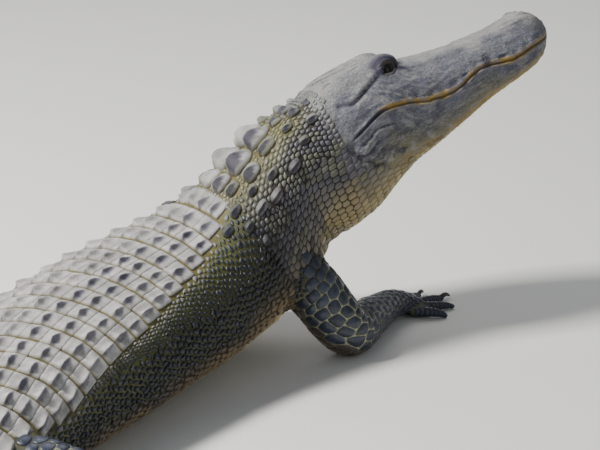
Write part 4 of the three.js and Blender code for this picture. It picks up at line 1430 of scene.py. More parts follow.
def flank_scales(side, ground, material):
    """Rounded scales from the shield to the belly; side is 1 for the right."""
    shape = Shape()

    def flank_field(top, low, rows, cols, look, seed, jitter, **options):
        place = strip(TRUNK_FROM_S, TRUNK_TO_S, top, low, side)
        outline = cells(rows, cols, jitter=jitter, seed=seed + side)
        plate_field(shape, outline, place, BODY_KIND, look, seed + side, ground, **options)

    flank_field(lambda s: shield_share(s) + 0.006, FLANK_TOP_SHARE, 84, 6, PEBBLE_SMALL, 20, 0.2,
                fill=0.86, vary=0.4, keep=clear_of_nuchals)
    flank_field(FLANK_TOP_SHARE, FLANK_MIDDLE_SHARE, 62, 6, PEBBLE, 25, 0.19, fill=0.91, vary=0.3)
    flank_field(FLANK_MIDDLE_SHARE, FLANK_LOW_SHARE, 54, 5, PEBBLE, 30, 0.15, fill=0.93, vary=0.2, tilt=0.3)
    return shape.coat("scales_flank_" + side_name(side < 0), material)


def u_of(share):
    """Ring place on the head that continues a share of the half girth at the neck's end."""
    us = np.linspace(0, CHIN_U, 121)
    place = np.interp(one_side(share), share_of(us), us)
    return np.where((share >= 0) & (share <= 1), place, RING - place)


def neck_surface(s, share):
    """Surface of the neck, which goes on over the hind part of the head."""
    points, normals = body_surface(s, share)
    ahead = s > NECK_END_S
    if ahead.any():
        head_points, head_normals = head_surface(np.maximum(s - NECK_END_S, 0), u_of(share))
        points = np.where(ahead[..., None], head_points, points)
        normals = np.where(ahead[..., None], head_normals, normals)
    return points, normals


# Height on the head's hind end, and how far ahead of it the neck's scales reach there
NECK_EDGE = np.array([(-20, 18), (20, 9), (50, 12), (66, 20)])
GULAR_LENGTH = 112
NECK_TOP_SHARE, NAPE_SHARE = 0.44, 0.20
NECK_KIND = (neck_surface, body_tints, body_spot)


def neck_free(s, share):
    """True on the neck, and on the head behind the ear and below the crease of the jowl."""
    x = s - NECK_END_S
    z = head_local(np.maximum(x, 0), u_of(share))[..., 2]
    below = (x > JOWL[0, 0]) & (z < np.interp(x, JOWL[:, 0], JOWL[:, 2]) - 5)
    rear = np.interp(z, NECK_EDGE[:, 0], NECK_EDGE[:, 1])
    return clear_of_nuchals(s, share) & ((x < 0) | (x < rear) | below)


def neck_scales(ground, material):
    """Scales of the nape, the sides of the neck and the throat."""
    shape = Shape()

    def neck_field(place, rows, cols, look, seed, jitter, **options):
        outline = cells(rows, cols, 0.6, jitter, seed)
        plate_field(shape, outline, place, NECK_KIND, look, seed, ground, keep=neck_free, **options)

    for side in (1, -1):
        upper = strip(656, NECK_END_S + 20, NAPE_SHARE, NECK_TOP_SHARE, side)

        def lower(p, q, side=side):
            s, share = strip(664, NECK_END_S + GULAR_LENGTH, NECK_TOP_SHARE, 1.0)(p, 0.7 * q + 0.3 * q * q)
            return s + 9 * np.sin(share * 8) * np.sin(p * np.pi), side * share

        neck_field(upper, 25, 9, NAPE_PLATE, 40 + side, 0.1, fill=0.92, vary=0.12)
        neck_field(lower, 23, 15, FLAT_PLATE, 46 + side, 0.06, fill=0.955, vary=0.05)
    nape = strip(648, NECK_END_S + 16, -NAPE_SHARE, NAPE_SHARE)
    neck_field(nape, 28, 17, NAPE_PLATE, 44, 0.14, fill=0.86, vary=0.25)
    return shape.coat("scales_neck", material)


def belly_scales(ground, material):
    """Flat plates in cross rows under the trunk."""
    shape = Shape()
    edge = FLANK_LOW_SHARE + 0.004
    outline = cells(32, 12, point=0, jitter=0.03, seed=50, shift=0)
    place = strip(TRUNK_FROM_S, 664, edge, 2 - FLANK_LOW_SHARE - 0.004)
    plate_field(shape, outline, place, BODY_KIND, FLAT_PLATE, 50, ground, fill=0.93)
    return shape.coat("scales_belly", material)


# Rings of plates on the tail: s where they start and end, rows, and columns from the crest to the underside
TAIL_RINGS = [(-128, -434, 9, 6), (-434, -740, 9, 5), (-740, -1028, 9, 4), (-1028, -1244, 8, 3)]


def crest_share(s):
    """Share of the half girth where the tail's side plates start, beside the crest."""
    parted = smooth(s, CREST_JOIN_S - 60, CREST_JOIN_S)
    single = np.minimum(8 / half_girth(s), 0.16)
    return (crest_round(s) + 11) / half_girth(s) * parted + (1 - parted) * single


def tail_scales(ground, material):
    shape = Shape()
    for k, (start, end, rows, cols) in enumerate(TAIL_RINGS):
        for side in (1, -1):
            seed = 60 + k + side * 5
            place = strip(start, end, crest_share, 1.0, side)
            outline = cells(rows, cols, 0, 0.03, seed, shift=0)[:, ::-side]
            plate_field(shape, outline, place, BODY_KIND, TAIL_PLATE, seed, ground, fill=0.92, tilt=0.35)
    return shape.coat("scales_tail", material)


def under_head(x):
    """Colours of the scales of the throat and chin, and of the skin between them."""
    plate = blend(THROAT, BELLY, smooth(x, 40, 240) * 0.6)
    return plate, blend(THROAT_GROOVE, BELLY_GROOVE, smooth(x, 60, 260))


# The chin's scales lie between these places along the head
CHIN_FROM_X, CHIN_LENGTH = 114, 266


def chin_scales(material):
    """Small scales under the lower jaw."""
    shape = Shape()
    kind = (head_surface, lambda x, u: under_head(x), head_spot)
    for side in (1, -1):
        def place(p, q, side=side):
            return CHIN_FROM_X + CHIN_LENGTH * p, CHIN_U - side * (1.1 - 0.1 * p) * (1 - q)

        outline = cells(29, 6, 0.6, 0.08, 70 + side)
        plate_field(shape, outline, place, kind, TINY, 70 + side)
    return shape.coat("scales_chin", material)


def limb_tints(t, turn, seed):
    """Colours of a limb's scales: dark with paler patches, cream beneath."""
    under = smooth(-np.sin(turn), 0.45, 0.9)
    lump = cloud(np.stack([t * 900, turn * 60, 0 * t], -1), 60, seed)
    plate = blend(blend(ARM, ARM_PALE, lump * 0.9), FLANK_LOW * 0.8, under * 0.7)
    groove = blend(ARM_GROOVE, ARM_GROOVE * 0.55, smooth(t, 0.5, 0.9))
    groove = blend(FLANK_GROOVE * 0.35, groove, smooth(t, 0.10, 0.25))
    groove = blend(groove, WEB, smooth(t, 0.78, 0.9))
    return plate, blend(groove, LOW_GROOVE, under)


ROWS_OF = {"arm": (23, 12), "leg": (21, 13)}
# Toes have scales on top, from this angle round them on, over half a turn and a little more
TOE_SIDE, TOE_SPREAD = -0.5, np.pi + 1.0
TOE_SCALE_LENGTH, TOE_FEWEST_ROWS = 9, 8


def outward_surface(at, line, share_from, share_span, turn_at, step, turn_step):
    """Surface of a rod in a field's shares, with normals that point away from its middle line."""
    def surface(p, q):
        t = np.clip(share_from + share_span * p, step, 1 - step)
        points, normals = normals_of(at, t, turn_at(q), step, turn_step)
        return points, normals * np.sign(((points - line(t)) * normals).sum(-1, keepdims=True))
    return surface


def as_shares(p, q):
    return p, q


def toe_tints(p, q):
    even = 0 * p
    return blend(ARM_PALE, ARM, 0.4 + even), blend(ARM_GROOVE * 0.5, ARM * 0.6, 0.5 + even)


def leg_field(shape, index, limb, ground):
    """The scales round a limb."""
    stations = limb["stations"]
    rows, cols = ROWS_OF[limb["name"]]
    seed = 80 + index
    surface = outward_surface(
        tube(stations, LIMB_COAT), limb_curve([row[0] for row in stations]), 0.04, 0.95,
        lambda q: q * FULL_TURN, 0.004, 0.03)

    def tints(p, q):
        return limb_tints(p, q * FULL_TURN, index)

    def spot(p, q):
        return np.stack([MAP_EDGE + LIMB_MAP * index + LIMB_ALONG * p, LIMB_UP + LIMB_ROUND * q], -1)

    outline = cells(rows, cols, 0.4, 0.06, seed, closed=True)
    kind = (surface, tints, spot)
    plate_field(shape, outline, as_shares, kind, ARM_PLATE, seed, ground, fill=0.975, vary=0.03, limb=True)


def toe_field(shape, index, k, length, line, ground):
    """The scales on top of a toe."""
    surface = outward_surface(
        toe_tube(line), limb_curve(line), 0.08, 0.86, lambda q: TOE_SIDE + q * TOE_SPREAD, 0.01, 0.05)

    def spot(p, q):
        across = MAP_EDGE + LIMB_MAP * index + TOE_MAP * k + TOE_ACROSS * q
        return np.stack([across, TOE_UP + TOE_ALONG * p], -1)

    seed = 90 + k
    outline = cells(max(TOE_FEWEST_ROWS, round(length / TOE_SCALE_LENGTH)), 3, 0, 0.03, seed, shift=0)
    kind = (surface, toe_tints, spot)
    plate_field(shape, outline, as_shares, kind, TINY, seed, ground, fill=0.92, limb=True)


def limb_scales(index, ground, material):
    """Scales of a limb and of the tops of its toes."""
    limb = LIMBS[index]
    shape = Shape()
    leg_field(shape, index, limb, ground)
    for k, (_, length, _, line) in enumerate(toe_lines(limb)):
        toe_field(shape, index, k, length, line, ground)
    return shape.coat("scales_" + limb["name"] + "_" + side_name(limb["side"] > 0), material)


# Filling scales: how far from a limb's root and from its wrist they may lie, their gap and their radius
FOOT_REACH, FILL_GAP, FILL_RADIUS = 150, 5.4, 3.1
FILL_LOWEST_Z, FILL_FOREMOST_X = 5, -60
WIDEST_PLATE = 36
FILL_SIDES = 9


def fill_room(points):
    """True for points of the skin where filling scales may lie."""
    near = np.zeros(len(points), bool)
    for limb in LIMBS:
        near |= np.linalg.norm(points - np.asarray(limb["stations"][0][0]), axis=1) < ROOT_REACH
        near |= np.linalg.norm(points - np.asarray(limb["wrist"]), axis=1) < FOOT_REACH
    return near & (points[:, 2] > FILL_LOWEST_Z) & (out_of_head(points)[:, 0] < FILL_FOREMOST_X)


def bare_points(skin):
    """Bare points of the skin near the limbs' roots, some way apart, and the nearest plates."""
    laid = np.concatenate(LAID)
    tree = point_tree(laid[:, :3])
    points = points_of(skin.data)
    beside_it = [(a, b, c) for a in (-1, 0, 1) for b in (-1, 0, 1) for c in (-1, 0, 1)]
    taken, chosen, closest = {}, [], []
    for i in np.random.default_rng(95).permutation(np.nonzero(fill_room(points))[0]).tolist():
        p = points[i]
        cell = tuple((p // FILL_GAP).astype(int))
        around = [tuple(c + d for c, d in zip(cell, step)) for step in beside_it]
        if any(np.linalg.norm(taken[c] - p) < FILL_GAP for c in around if c in taken):
            continue
        plates = tree.find_range(p.tolist(), WIDEST_PLATE)
        if any(gap < laid[k, 5] + FILL_RADIUS * 0.2 for _, k, gap in plates):
            continue
        taken[cell] = p
        chosen.append(i)
        closest.append(tree.find(p.tolist())[1])
    return points[chosen], chosen, laid[closest, 3:5]


def fill_scales(skin, material):
    """Small round scales wherever the larger fields leave the limbs' roots bare."""
    p, centres, marks = bare_points(skin)
    rng = np.random.default_rng(96)
    n = read(skin.data.vertex_normals, "vector", 3)[centres]
    marks = marks + rng.uniform(-2, 2, marks.shape) * SPOT_RADIUS
    a = unit(np.cross(n, (0.3, 0.2, 1.0)))
    b = np.cross(n, a)
    k = FILL_SIDES
    angle = np.arange(k) * FULL_TURN / k
    radius = FILL_RADIUS * (0.85 + 0.3 * rng.random((len(p), k)))
    spoke = a[:, None] * np.cos(angle)[None, :, None] + b[:, None] * np.sin(angle)[None, :, None]
    rings, peak = PEBBLE_SMALL
    parts = [p[:, None] + spoke * (radius * share)[..., None] + n[:, None] * h for share, h in rings]
    parts.append((p + n * peak)[:, None])
    low = smooth(-n[:, 2], 0.2, 0.7)
    tint = blend(FLANK * 1.15, FLANK_LOW, low) * (1 + 0.3 * (rng.random((len(p), 1)) - 0.5))
    groove = blend(FLANK_GROOVE, LOW_GROOVE, low)
    level = np.repeat(RING_LEVELS, [k, k, k, 1])[None, :, None]
    paints = groove[:, None] * (1 - level) + tint[:, None] * level
    circle = np.stack([np.cos(angle), np.sin(angle)], -1)
    spread = np.concatenate([circle] * len(rings) + [[[0, 0]]]) * SPOT_RADIUS
    shape = Shape()
    shape.add(np.concatenate(parts, 1), ring_pattern(len(rings), k), paints, marks[:, None] + spread[None])
    return shape.coat("scales_between", material)


# Painted shadow beside the ridge from the eye to the snout, and dark spot on the lip, in the head's axes
CANTHUS_SHADOW = np.array([(140, 54, 63), (156, 52, 55), (178, 50, 46)], float)
LIP_SPOT = np.array((274, 56, 11))
# Ring places of the yellow edge of the jaw and of the row of dark dots above it
JAW_EDGE_U, DOTS_U = 4.95, 4.45
JOWL_TINGE = colour(108, 108, 82)
# Place of the neck whose colours the head's hind end takes over
NAPE_TINT_S = 851.0


def share_of(u):
    """Share of the half girth at the head's hind end for a ring place."""
    phi = nape_turn(u) - np.pi / 2
    return np.interp(np.minimum(phi, FULL_TURN - phi), ARC_ANGLES[-1], ARC_SHARES)


def ground_tints(x, fold_u, lump, under):
    """Colours of the head's top, sides, jowl and underside."""
    tint = blend(HEAD_TOP, HEAD, smooth(fold_u + lump, 0.5, 1.8))
    tint = blend(tint, HEAD_LOW, smooth(fold_u + 0.6 * lump, 3.5, 4.6))
    tint = blend(tint, under_head(x)[0] * 0.75, under)
    tinge = smooth(fold_u + 0.8 * lump, 3.9, 4.7) * (1 - smooth(x, 96, 170)) * smooth(x, 8, 34)
    tint = blend(tint, JOWL_TINGE, 0.5 * tinge * (1 - under))
    edge = bell(fold_u - JAW_EDGE_U, 0.34) * smooth(x, 44, 110)
    return blend(tint, blend(OCHRE, LIP_PALE, 0.25) * 0.85, edge * np.clip(0.8 + 1.2 * lump, 0, 1))


def lip_tints(tint, x, z, from_lip, points, lump, mouth):
    """The colours with the pale band of the lips and painted shade in the slit between them."""
    above = z > lip_z_at(x)
    reach = np.where(above, 0, 2.5)
    stripe = (1 - smooth(from_lip + 4 * lump + reach, 4.6, 8.6)) * smooth(x, 66, 104)
    stripe = stripe * np.where(above, 0.97, 0.75) * (0.45 + 0.55 * smooth(cloud(points, 11, 9), 0.35, 0.6))
    tint = blend(tint, blend(LIP_PALE, OCHRE, 0.7 + 0.5 * lump), stripe)
    # Painted shade in the lips' groove towards the mouth's corner, darkest in the slit itself
    tint = blend(tint, VIOLET, (1 - smooth(from_lip, 2.4, 4.4)) * mouth * (1 - smooth(x, 78, 104)) * 0.9)
    return blend(tint, SLIT_SHADE, (1 - smooth(from_lip, 0.9, 1.9)) * mouth)


def head_tints(x, u, points):
    """Colours of the head's skin at points in its own axes, and how strongly its markings show."""
    y, z = points[..., 1], points[..., 2]
    side = np.stack([x, np.abs(y), z], -1)
    lump = cloud(points, 26, 5) - 0.5
    fold_u = np.minimum(u, RING - u)
    under = smooth(fold_u, 4.9, 5.4)
    tint = ground_tints(x, fold_u, lump, under)
    behind = smooth(-x, -30, 4)
    nape_plate, nape_groove = body_tints(np.full_like(x, NAPE_TINT_S), share_of(u))
    tint = blend(tint, blend(nape_plate, nape_groove, smooth(fold_u, 3.2, 4.6) * 0.8), behind)
    streaks = smooth(cheek_streaks(x, y, z), 0.5, 0.74) * smooth(fold_u, 1.1, 1.8) * (1 - under)
    tint = blend(tint, HEAD_TOP * 1.1, streaks * 0.5 * (1 - smooth(x, 150, 330)))
    # Painted shade in the creases under the corner of the mouth
    tint = blend(tint, VIOLET, 0.75 * smooth(cheek_folds(x, y, z), 0.25, 0.9))
    mouth, from_lip = smooth(x, 24, 40), lip_gap(x, y, z)
    tint = lip_tints(tint, x, z, from_lip, points, lump, mouth)
    ear, jowl, streak = (to_line(side, line)[0] for line in (EAR, JOWL, CANTHUS_SHADOW))
    # Painted shade in the groove under the ear flap
    tint = blend(tint, VIOLET * 0.6, 1 - smooth(ear, 1.3, 3.6))
    # Painted shade in the crease round the jowl
    tint = blend(tint, NECK_GROOVE, (1 - smooth(jowl, 1.6, 4.4)) * 0.9)
    # Painted shadow beside the ridge from the eye to the snout, narrowing towards the snout
    taper = np.interp(x, [140, 182], [6.5, 0.5])
    dark = (1 - smooth(streak + 2 * lump, taper * 0.5, taper + 1.5)) * 0.95
    tint = blend(tint, VIOLET, dark)
    spot, eye_gap, nose = (np.linalg.norm(side - place, axis=-1) for place in (LIP_SPOT, EYE, NOSTRIL[0]))
    tint = blend(tint, VIOLET, (1 - smooth(spot + 8 * lump, 6, 13)) * 0.8)
    lid_dark = (1 - smooth(eye_gap + 4 * lump, 21, 31)) * (0.55 + 0.42 * smooth(z, 52, 64))
    tint = blend(tint, VIOLET, lid_dark)
    dots = cloud(points, 5, 8) * smooth(x, 26, 40) * (1 - smooth(x, 90, 130))
    tint = blend(tint, VIOLET * 0.8, smooth(dots, 0.48, 0.6) * bell(fold_u - DOTS_U, 0.28) * 0.85)
    # Painted shade in the nostrils' holes
    tint = blend(tint, SLIT_SHADE, (1 - smooth(nose, 5, 9)) * (z < 46))
    marks = (1 - smooth(fold_u, 4.2, 5.0)) * (1 - np.maximum(dark, lid_dark)) * smooth(ear, 2, 6)
    return tint, marks * (1 - behind) * (1 - smooth(from_lip, 7, 3) * mouth)


def body_samples(along, coarse, body):
    """Places of the body's rings, with the colours of the skin there."""
    round_share = np.abs(np.mod(coarse + CHIN_U, RING) - CHIN_U)[None, :] / CHIN_U + 0 * along[:, None]
    ahead = smooth(along, ROUND_FROM_S, NECK_END_S)[:, None]
    phi = round_share * np.pi * (1 - ahead)
    phi = phi + np.interp(share_of(coarse), ARC_SHARES, ARC_ANGLES[-1])[None, :] * ahead
    row = ((along + TAIL_LENGTH) / STEP).astype(int)
    share = np.array([np.interp(phi[k], ARC_ANGLES[row[k]], ARC_SHARES) for k in range(len(along))])
    return body, body_tints(along[:, None] + 0 * share, share)[1], 0.0


def limb_samples(index, limb):
    """Places of a limb and of its toes, with the colours of the skin there."""
    t, turn = np.meshgrid(np.linspace(0, 1, 60), np.linspace(0, FULL_TURN, 24, endpoint=False), indexing="ij")
    samples = [(tube(limb["stations"], LIMB_COAT)(t, turn), limb_tints(t, turn, index)[1], 0.0)]
    for *_, line in toe_lines(limb):
        samples.append((limb_curve(line)(np.linspace(0, 1, 12)) + (0, 0, 4), ARM * 0.9, 0.0))
    return samples


def skin_paint(skin, body_rings, head_rings):
    """Colours the skin from the nearest place of known kind: trunk, head or limb."""
    xs, columns, head = head_rings
    x, u = np.broadcast_arrays(xs[:, None], columns[None, :])
    samples = [body_samples(*body_rings), (head, *head_tints(x, u, out_of_head(head)))]
    for index, limb in enumerate(LIMBS):
        samples += limb_samples(index, limb)
    places = np.concatenate([place.reshape(-1, 3) for place, _, _ in samples])
    tints = np.concatenate([np.broadcast_to(tint, place.shape).reshape(-1, 3) for place, tint, _ in samples])
    marks = np.concatenate([np.broadcast_to(mark, place.shape[:-1]).ravel() for place, _, mark in samples])
    tree = point_tree(places)
    nearest = np.array([tree.find(p)[1] for p in points_of(skin.data).tolist()])
    paint(skin.data, tints[nearest], marks[nearest])


class Nodes:
    """Short ways to build a material's nodes."""

    def __init__(self, name):
        self.material = bpy.data.materials.new(name)
        self.material.use_nodes = True
        self.tree = self.material.node_tree
        self.shader = self.tree.nodes["Principled BSDF"]
        self.place = self.tree.nodes.new("ShaderNodeTexCoord").outputs["Object"]

    def link(self, source, target):
        self.tree.links.new(source, target)

    def node(self, kind, **settings):
        """A new node of a kind, with its settings."""
        node = self.tree.nodes.new("ShaderNode" + kind)
        for key, value in settings.items():
            setattr(node, key, value)
        return node

    def put(self, socket, value):
        """Links or sets a socket."""
        if isinstance(value, bpy.types.NodeSocket):
            self.link(value, socket)
        else:
            socket.default_value = value

    def surface(self, **values):
        """Links or sets the shader's inputs, written with _ for a space."""
        for key, value in values.items():
            self.put(self.shader.inputs[key.replace("_", " ")], value)
        return self.material

    def tint(self):
        """The colour stored on the mesh, and the number stored beside it."""
        stored = self.node("Attribute", attribute_name="tint")
        return stored.outputs["Color"], stored.outputs["Alpha"]

    def scaled(self, tint, amount):
        node = self.node("VectorMath", operation="SCALE")
        self.link(tint, node.inputs[0])
        self.link(amount, node.inputs["Scale"])
        return node.outputs[0]

    def head_place(self, stretch):
        """Place measured along the head, across it and up, stretched along it."""
        join = self.node("CombineXYZ")
        for i in range(3):
            dot = self.node("VectorMath", operation="DOT_PRODUCT")
            self.link(self.place, dot.inputs[0])
            dot.inputs[1].default_value = tuple(HEAD_AXES[:, i] / (stretch if i == 0 else 1))
            self.link(dot.outputs["Value"], join.inputs[i])
        return join.outputs[0]

    def noise(self, scale, detail=3.0, roughness=0.5, distortion=0.0, place=None):
        node = self.node("TexNoise")
        settings = {"Scale": scale, "Detail": detail, "Roughness": roughness, "Distortion": distortion}
        for key, value in settings.items():
            node.inputs[key].default_value = value
        self.link(self.place if place is None else place, node.inputs["Vector"])
        return node.outputs["Fac"]

    def cracks(self, scale, width):
        """1 in thin lines between uneven cells, 0 inside them."""
        node = self.node("TexVoronoi", feature="DISTANCE_TO_EDGE")
        node.inputs["Scale"].default_value = scale
        warp = self.node("VectorMath", operation="MULTIPLY_ADD")
        shift = self.node("TexNoise")
        shift.inputs["Scale"].default_value = scale * 0.8
        self.link(self.place, shift.inputs["Vector"])
        self.link(shift.outputs["Color"], warp.inputs[0])
        warp.inputs[1].default_value = (0.8 / scale,) * 3
        self.link(self.place, warp.inputs[2])
        self.link(warp.outputs[0], node.inputs["Vector"])
        return self.ramp(node.outputs["Distance"], 0.0, width, 1.0, 0.0)

    def ramp(self, source, low, high, start=0.0, end=1.0):
        node = self.node("MapRange", interpolation_type="SMOOTHSTEP")
        for i, value in enumerate((low, high, start, end)):
            node.inputs[i + 1].default_value = value
        self.link(source, node.inputs[0])
        return node.outputs[0]

    def product(self, first, *others):
        for value in others:
            node = self.node("Math", operation="MULTIPLY")
            self.put(node.inputs[0], first)
            self.put(node.inputs[1], value)
            first = node.outputs[0]
        return first

    def mix(self, a, b, share):
        node = self.node("Mix", data_type="RGBA", blend_type="MIX")
        for socket, value in ((node.inputs[0], share), (node.inputs[6], a), (node.inputs[7], b)):
            self.put(socket, value)
        return node.outputs[2]

    def bump(self, height, distance, before=None):
        node = self.node("Bump")
        node.inputs["Strength"].default_value = 1.0
        node.inputs["Distance"].default_value = distance
        self.link(height, node.inputs["Height"])
        if before is not None:
            self.link(before, node.inputs["Normal"])
        return node.outputs["Normal"]


def rgba(tint):
    return (*[float(v) for v in tint], 1.0)


# Markings of the head's hide
LINE_TINT, STREAK_TINT, BLOTCH_TINT = colour(170, 170, 160), colour(40, 38, 60), colour(52, 50, 74)
FINE_BUMP = 0.0006
GLOSS_GRAIN = 0.12


def head_markings(n, base, normal, amount):
    """Fine lines along the head, dark streaks, blotches and pits, each as strong as amount says."""
    wave = n.noise(210, 3, 0.6, 0.5, n.head_place(2.6))
    lines = n.product(n.ramp(wave, 0.46, 0.50), n.ramp(wave, 0.55, 0.51))
    base = n.mix(base, rgba(LINE_TINT), n.product(lines, amount, 0.30))
    streaks = n.ramp(n.noise(95, 4, 0.65, 0.4, n.head_place(5)), 0.53, 0.66)
    base = n.mix(base, rgba(STREAK_TINT), n.product(streaks, amount, 0.55))
    blotch = n.ramp(n.noise(26, 4, 0.6, 0.8), 0.56, 0.66)
    base = n.mix(base, rgba(BLOTCH_TINT), n.product(blotch, amount, 0.45))
    return base, n.bump(n.product(n.cracks(190, 0.08), amount, -1.0), FINE_BUMP, normal)


def hide(name, rough, mottle, grain, head=False):
    """Hide whose colour is stored on the mesh, broken up by mottling, speckle and fine relief."""
    n = Nodes(name)
    tint, amount = n.tint()
    soft = n.ramp(n.noise(42, 5, 0.6), 0.3, 0.7, 1 - mottle, 1 + mottle)
    fine = n.ramp(n.noise(420, 3, 0.6), 0.25, 0.75, 1 - 0.6 * mottle, 1 + 0.5 * mottle)
    base = n.scaled(tint, n.product(soft, fine))
    normal = n.bump(n.noise(520, 4, 0.65), FINE_BUMP * grain)
    if head:
        base, normal = head_markings(n, base, normal, amount)
    gloss = n.ramp(n.noise(90, 4, 0.6), 0.3, 0.7, rough - GLOSS_GRAIN, rough + GLOSS_GRAIN)
    return n.surface(Base_Color=base, Normal=normal, Roughness=gloss)


def horn(name):
    n = Nodes(name)
    streak = n.noise(300, 4, 0.6, 0.5)
    base = n.mix(rgba(CLAW), rgba(colour(92, 82, 68)), n.ramp(streak, 0.45, 0.75))
    gloss = n.ramp(streak, 0.3, 0.7, 0.32, 0.5)
    return n.surface(Base_Color=base, Normal=n.bump(streak, 0.0003), Roughness=gloss)


def eye_gloss(name):
    n = Nodes(name)
    base = n.scaled(n.tint()[0], n.ramp(n.noise(900, 3, 0.6), 0.3, 0.7, 0.7, 1.2))
    gloss = n.ramp(n.noise(200, 2), 0.3, 0.7, 0.08, 0.14)
    normal = n.bump(n.noise(260, 2), 0.00005)
    return n.surface(Base_Color=base, Roughness=gloss, Normal=normal, Specular_IOR_Level=0.3)


# Lids: arc distances from the slit's edge, and distance from the eye's middle
LID_STEPS = [
    (-0.6, 14.5), (0.0, 15.8), (0.5, 16.9), (1.4, 18.0), (2.6, 18.8), (4.2, 19.0), (5.6, 19.5), (7.2, 19.4),
    (8.8, 19.0), (10.2, 18.0), (11.4, 16.4), (12.8, 14.6),
]
SLIT_HALF_LONG, SLIT_UP, SLIT_DOWN = 15.5, 9.0, 7.0
LID_POINTS = 72
EYE_YAW, EYE_TILT = math.radians(20), math.radians(10)
LID_ARC = 17.0
# Rings and points round an eyeball, how far its clear front bulges, and half sizes of its upright pupil
EYE_RINGS, EYE_POINTS = 40, 64
CORNEA = 0.9
PUPIL_WIDE, PUPIL_HIGH = 1.5, 8.5
IRIS, IRIS_RIM, PUPIL = colour(24, 20, 10), colour(9, 8, 7), colour(4, 4, 4)


def rotated(a, b, angle):
    """Two coordinates turned by an angle from the second to the first."""
    return a * math.cos(angle) + b * math.sin(angle), b * math.cos(angle) - a * math.sin(angle)


def from_eye(side, a, b, r):
    """Point in the head's axes at arc distances a forward and b up from the eye's outward axis."""
    arc = np.hypot(a, b)
    angle = arc / LID_ARC
    share = np.sin(angle) / np.maximum(arc, 1e-6)
    ahead, out = rotated(a * share, np.cos(angle), EYE_YAW)
    up, out = rotated(b * share, out, EYE_TILT)
    local = np.stack([ahead, out, up], -1) * r[..., None]
    return (local + EYE) * (1, side, 1)


def face_part(points, faces, tints, side, name, material):
    """A piece of the head's right or left side, without a map of its own."""
    shape = Shape()
    shape.add(in_head(points), flipped(faces) if side > 0 else faces, tints)
    return shape.painted(name + side_name(side > 0), material)


def lids(side, material):
    phi = np.linspace(0, FULL_TURN, LID_POINTS, endpoint=False)[None, :]
    steps = np.array(LID_STEPS)
    over, radius = steps[:, :1], steps[:, 1:]
    a0 = SLIT_HALF_LONG * np.cos(phi)
    b0 = np.sin(phi) * np.where(np.sin(phi) > 0, SLIT_UP, SLIT_DOWN)
    way = unit(np.stack([a0 / SLIT_HALF_LONG ** 1.2, b0 / SLIT_UP ** 1.2], -1))
    a, b = a0 + way[..., 0] * over * 1.05, b0 + way[..., 1] * over
    heavy = np.maximum(np.sin(phi), 0) * bell(over - 3.0, 3.0) * 2.4
    wrinkle = 0.28 * np.sin(over * 2.1 + 2 * np.sin(phi * 2)) * smooth(over, 2, 5)
    points = from_eye(side, a, b, radius + heavy + wrinkle).reshape(-1, 3)
    rows, n = len(LID_STEPS), LID_POINTS
    faces = tube_faces(rows, n, caps=False) + [tuple(range((rows - 1) * n, rows * n)), tuple(range(n))[::-1]]
    rim = bell(over - 0.9, 0.9) + 0 * phi
    upper = smooth(np.sin(phi), -0.35, 0.2)
    tints = blend(blend(HEAD * 0.8, VIOLET, 0.45 + 0 * phi), VIOLET * 0.7, upper) + 0 * over[..., None]
    tints = blend(tints, LIP_PALE * 0.6, rim * 0.4).reshape(-1, 3)
    return face_part(points, faces, tints, side, "lids_", material)


def eye(side, material):
    angle = np.linspace(0, np.pi, EYE_RINGS + 1)[1:-1, None]
    phi = np.linspace(0, FULL_TURN, EYE_POINTS, endpoint=False)[None, :]
    a, b = LID_ARC * angle * np.cos(phi), LID_ARC * angle * np.sin(phi)
    points = from_eye(side, a, b, EYE_R + CORNEA * bell(angle, 0.5) + 0 * phi)
    poles = from_eye(side, np.array([0.0, LID_ARC * np.pi]), np.zeros(2), np.array([EYE_R + CORNEA, EYE_R]))
    slit = smooth((np.abs(a) / PUPIL_WIDE) ** 2 + (b / PUPIL_HIGH) ** 2, 1.3, 0.7)
    tints = blend(blend(IRIS, IRIS_RIM, smooth(np.hypot(a, b), 5, 10)), PUPIL, slit)
    tints = np.concatenate([tints.reshape(-1, 3), [PUPIL] * 2])
    points = np.concatenate([points.reshape(-1, 3), poles])
    faces = flipped(tube_faces(EYE_RINGS - 1, EYE_POINTS))
    piece = face_part(points, faces, tints, side, "eyeball_", material)
    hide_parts("eye_" + side_name(side > 0))
    return piece


# A claw from root to tip: distance ahead of the toe's end, height and half size
CLAW_PATH = [(-6, 6.5, 3.6), (1, 8.2, 3.9), (8, 7.2, 2.9), (13, 4.4, 1.7), (CLAW_LENGTH, 1.6, 0.4)]
CLAW_FLATNESS = 0.8


def claws(material):
    shape = Shape()
    for limb in LIMBS:
        for heading, length, claw, _ in toe_lines(limb):
            if not claw:
                continue
            rows = []
            for ahead, z, size in CLAW_PATH:
                place = step_from(limb["wrist"], heading, length + ahead, z)
                rows.append((place, size * CLAW_FLATNESS, size))
            add_tube(shape, tube(rows), 14, 12)
    piece = finished(shape.object("claws"), material)
    return piece


# Camera at the photograph's view: degrees, metres, and the pixel of a 600 by 450 frame where the anchor lands
VIEW = dict(
    azimuth=-40, elevation=20, distance=4.0, pixels_per_metre=678, anchor=(0.470, 0, 0.200), pixel=(293, 235))
FRAME_SIZE = (600, 450)
SENSOR = 36
# Lights: share to the view's right, upwards and towards the camera, distance, size, power and colour
LIGHTS = {
    "key": ((-0.8, 1.0, 0.15), 3.2, 0.6, 225, (1.0, 0.97, 0.92)),
    "fill": ((0.9, 0.5, 0.8), 4.0, 3.0, 15, (0.92, 0.95, 1.0)),
    "rim": ((0.1, 0.9, -0.9), 3.5, 2.0, 30, (1.0, 1.0, 1.0)),
}
LIT_PLACE = Vector((0.25, 0, 0.15))
FLOOR_HALF, FLOOR_DROP = 9, -0.0004
FLOOR_TINT, FLOOR_ROUGH = (0.72, 0.72, 0.70, 1), 0.9
SKY_TINT, SKY_STRENGTH = (0.80, 0.83, 0.88, 1), 0.32


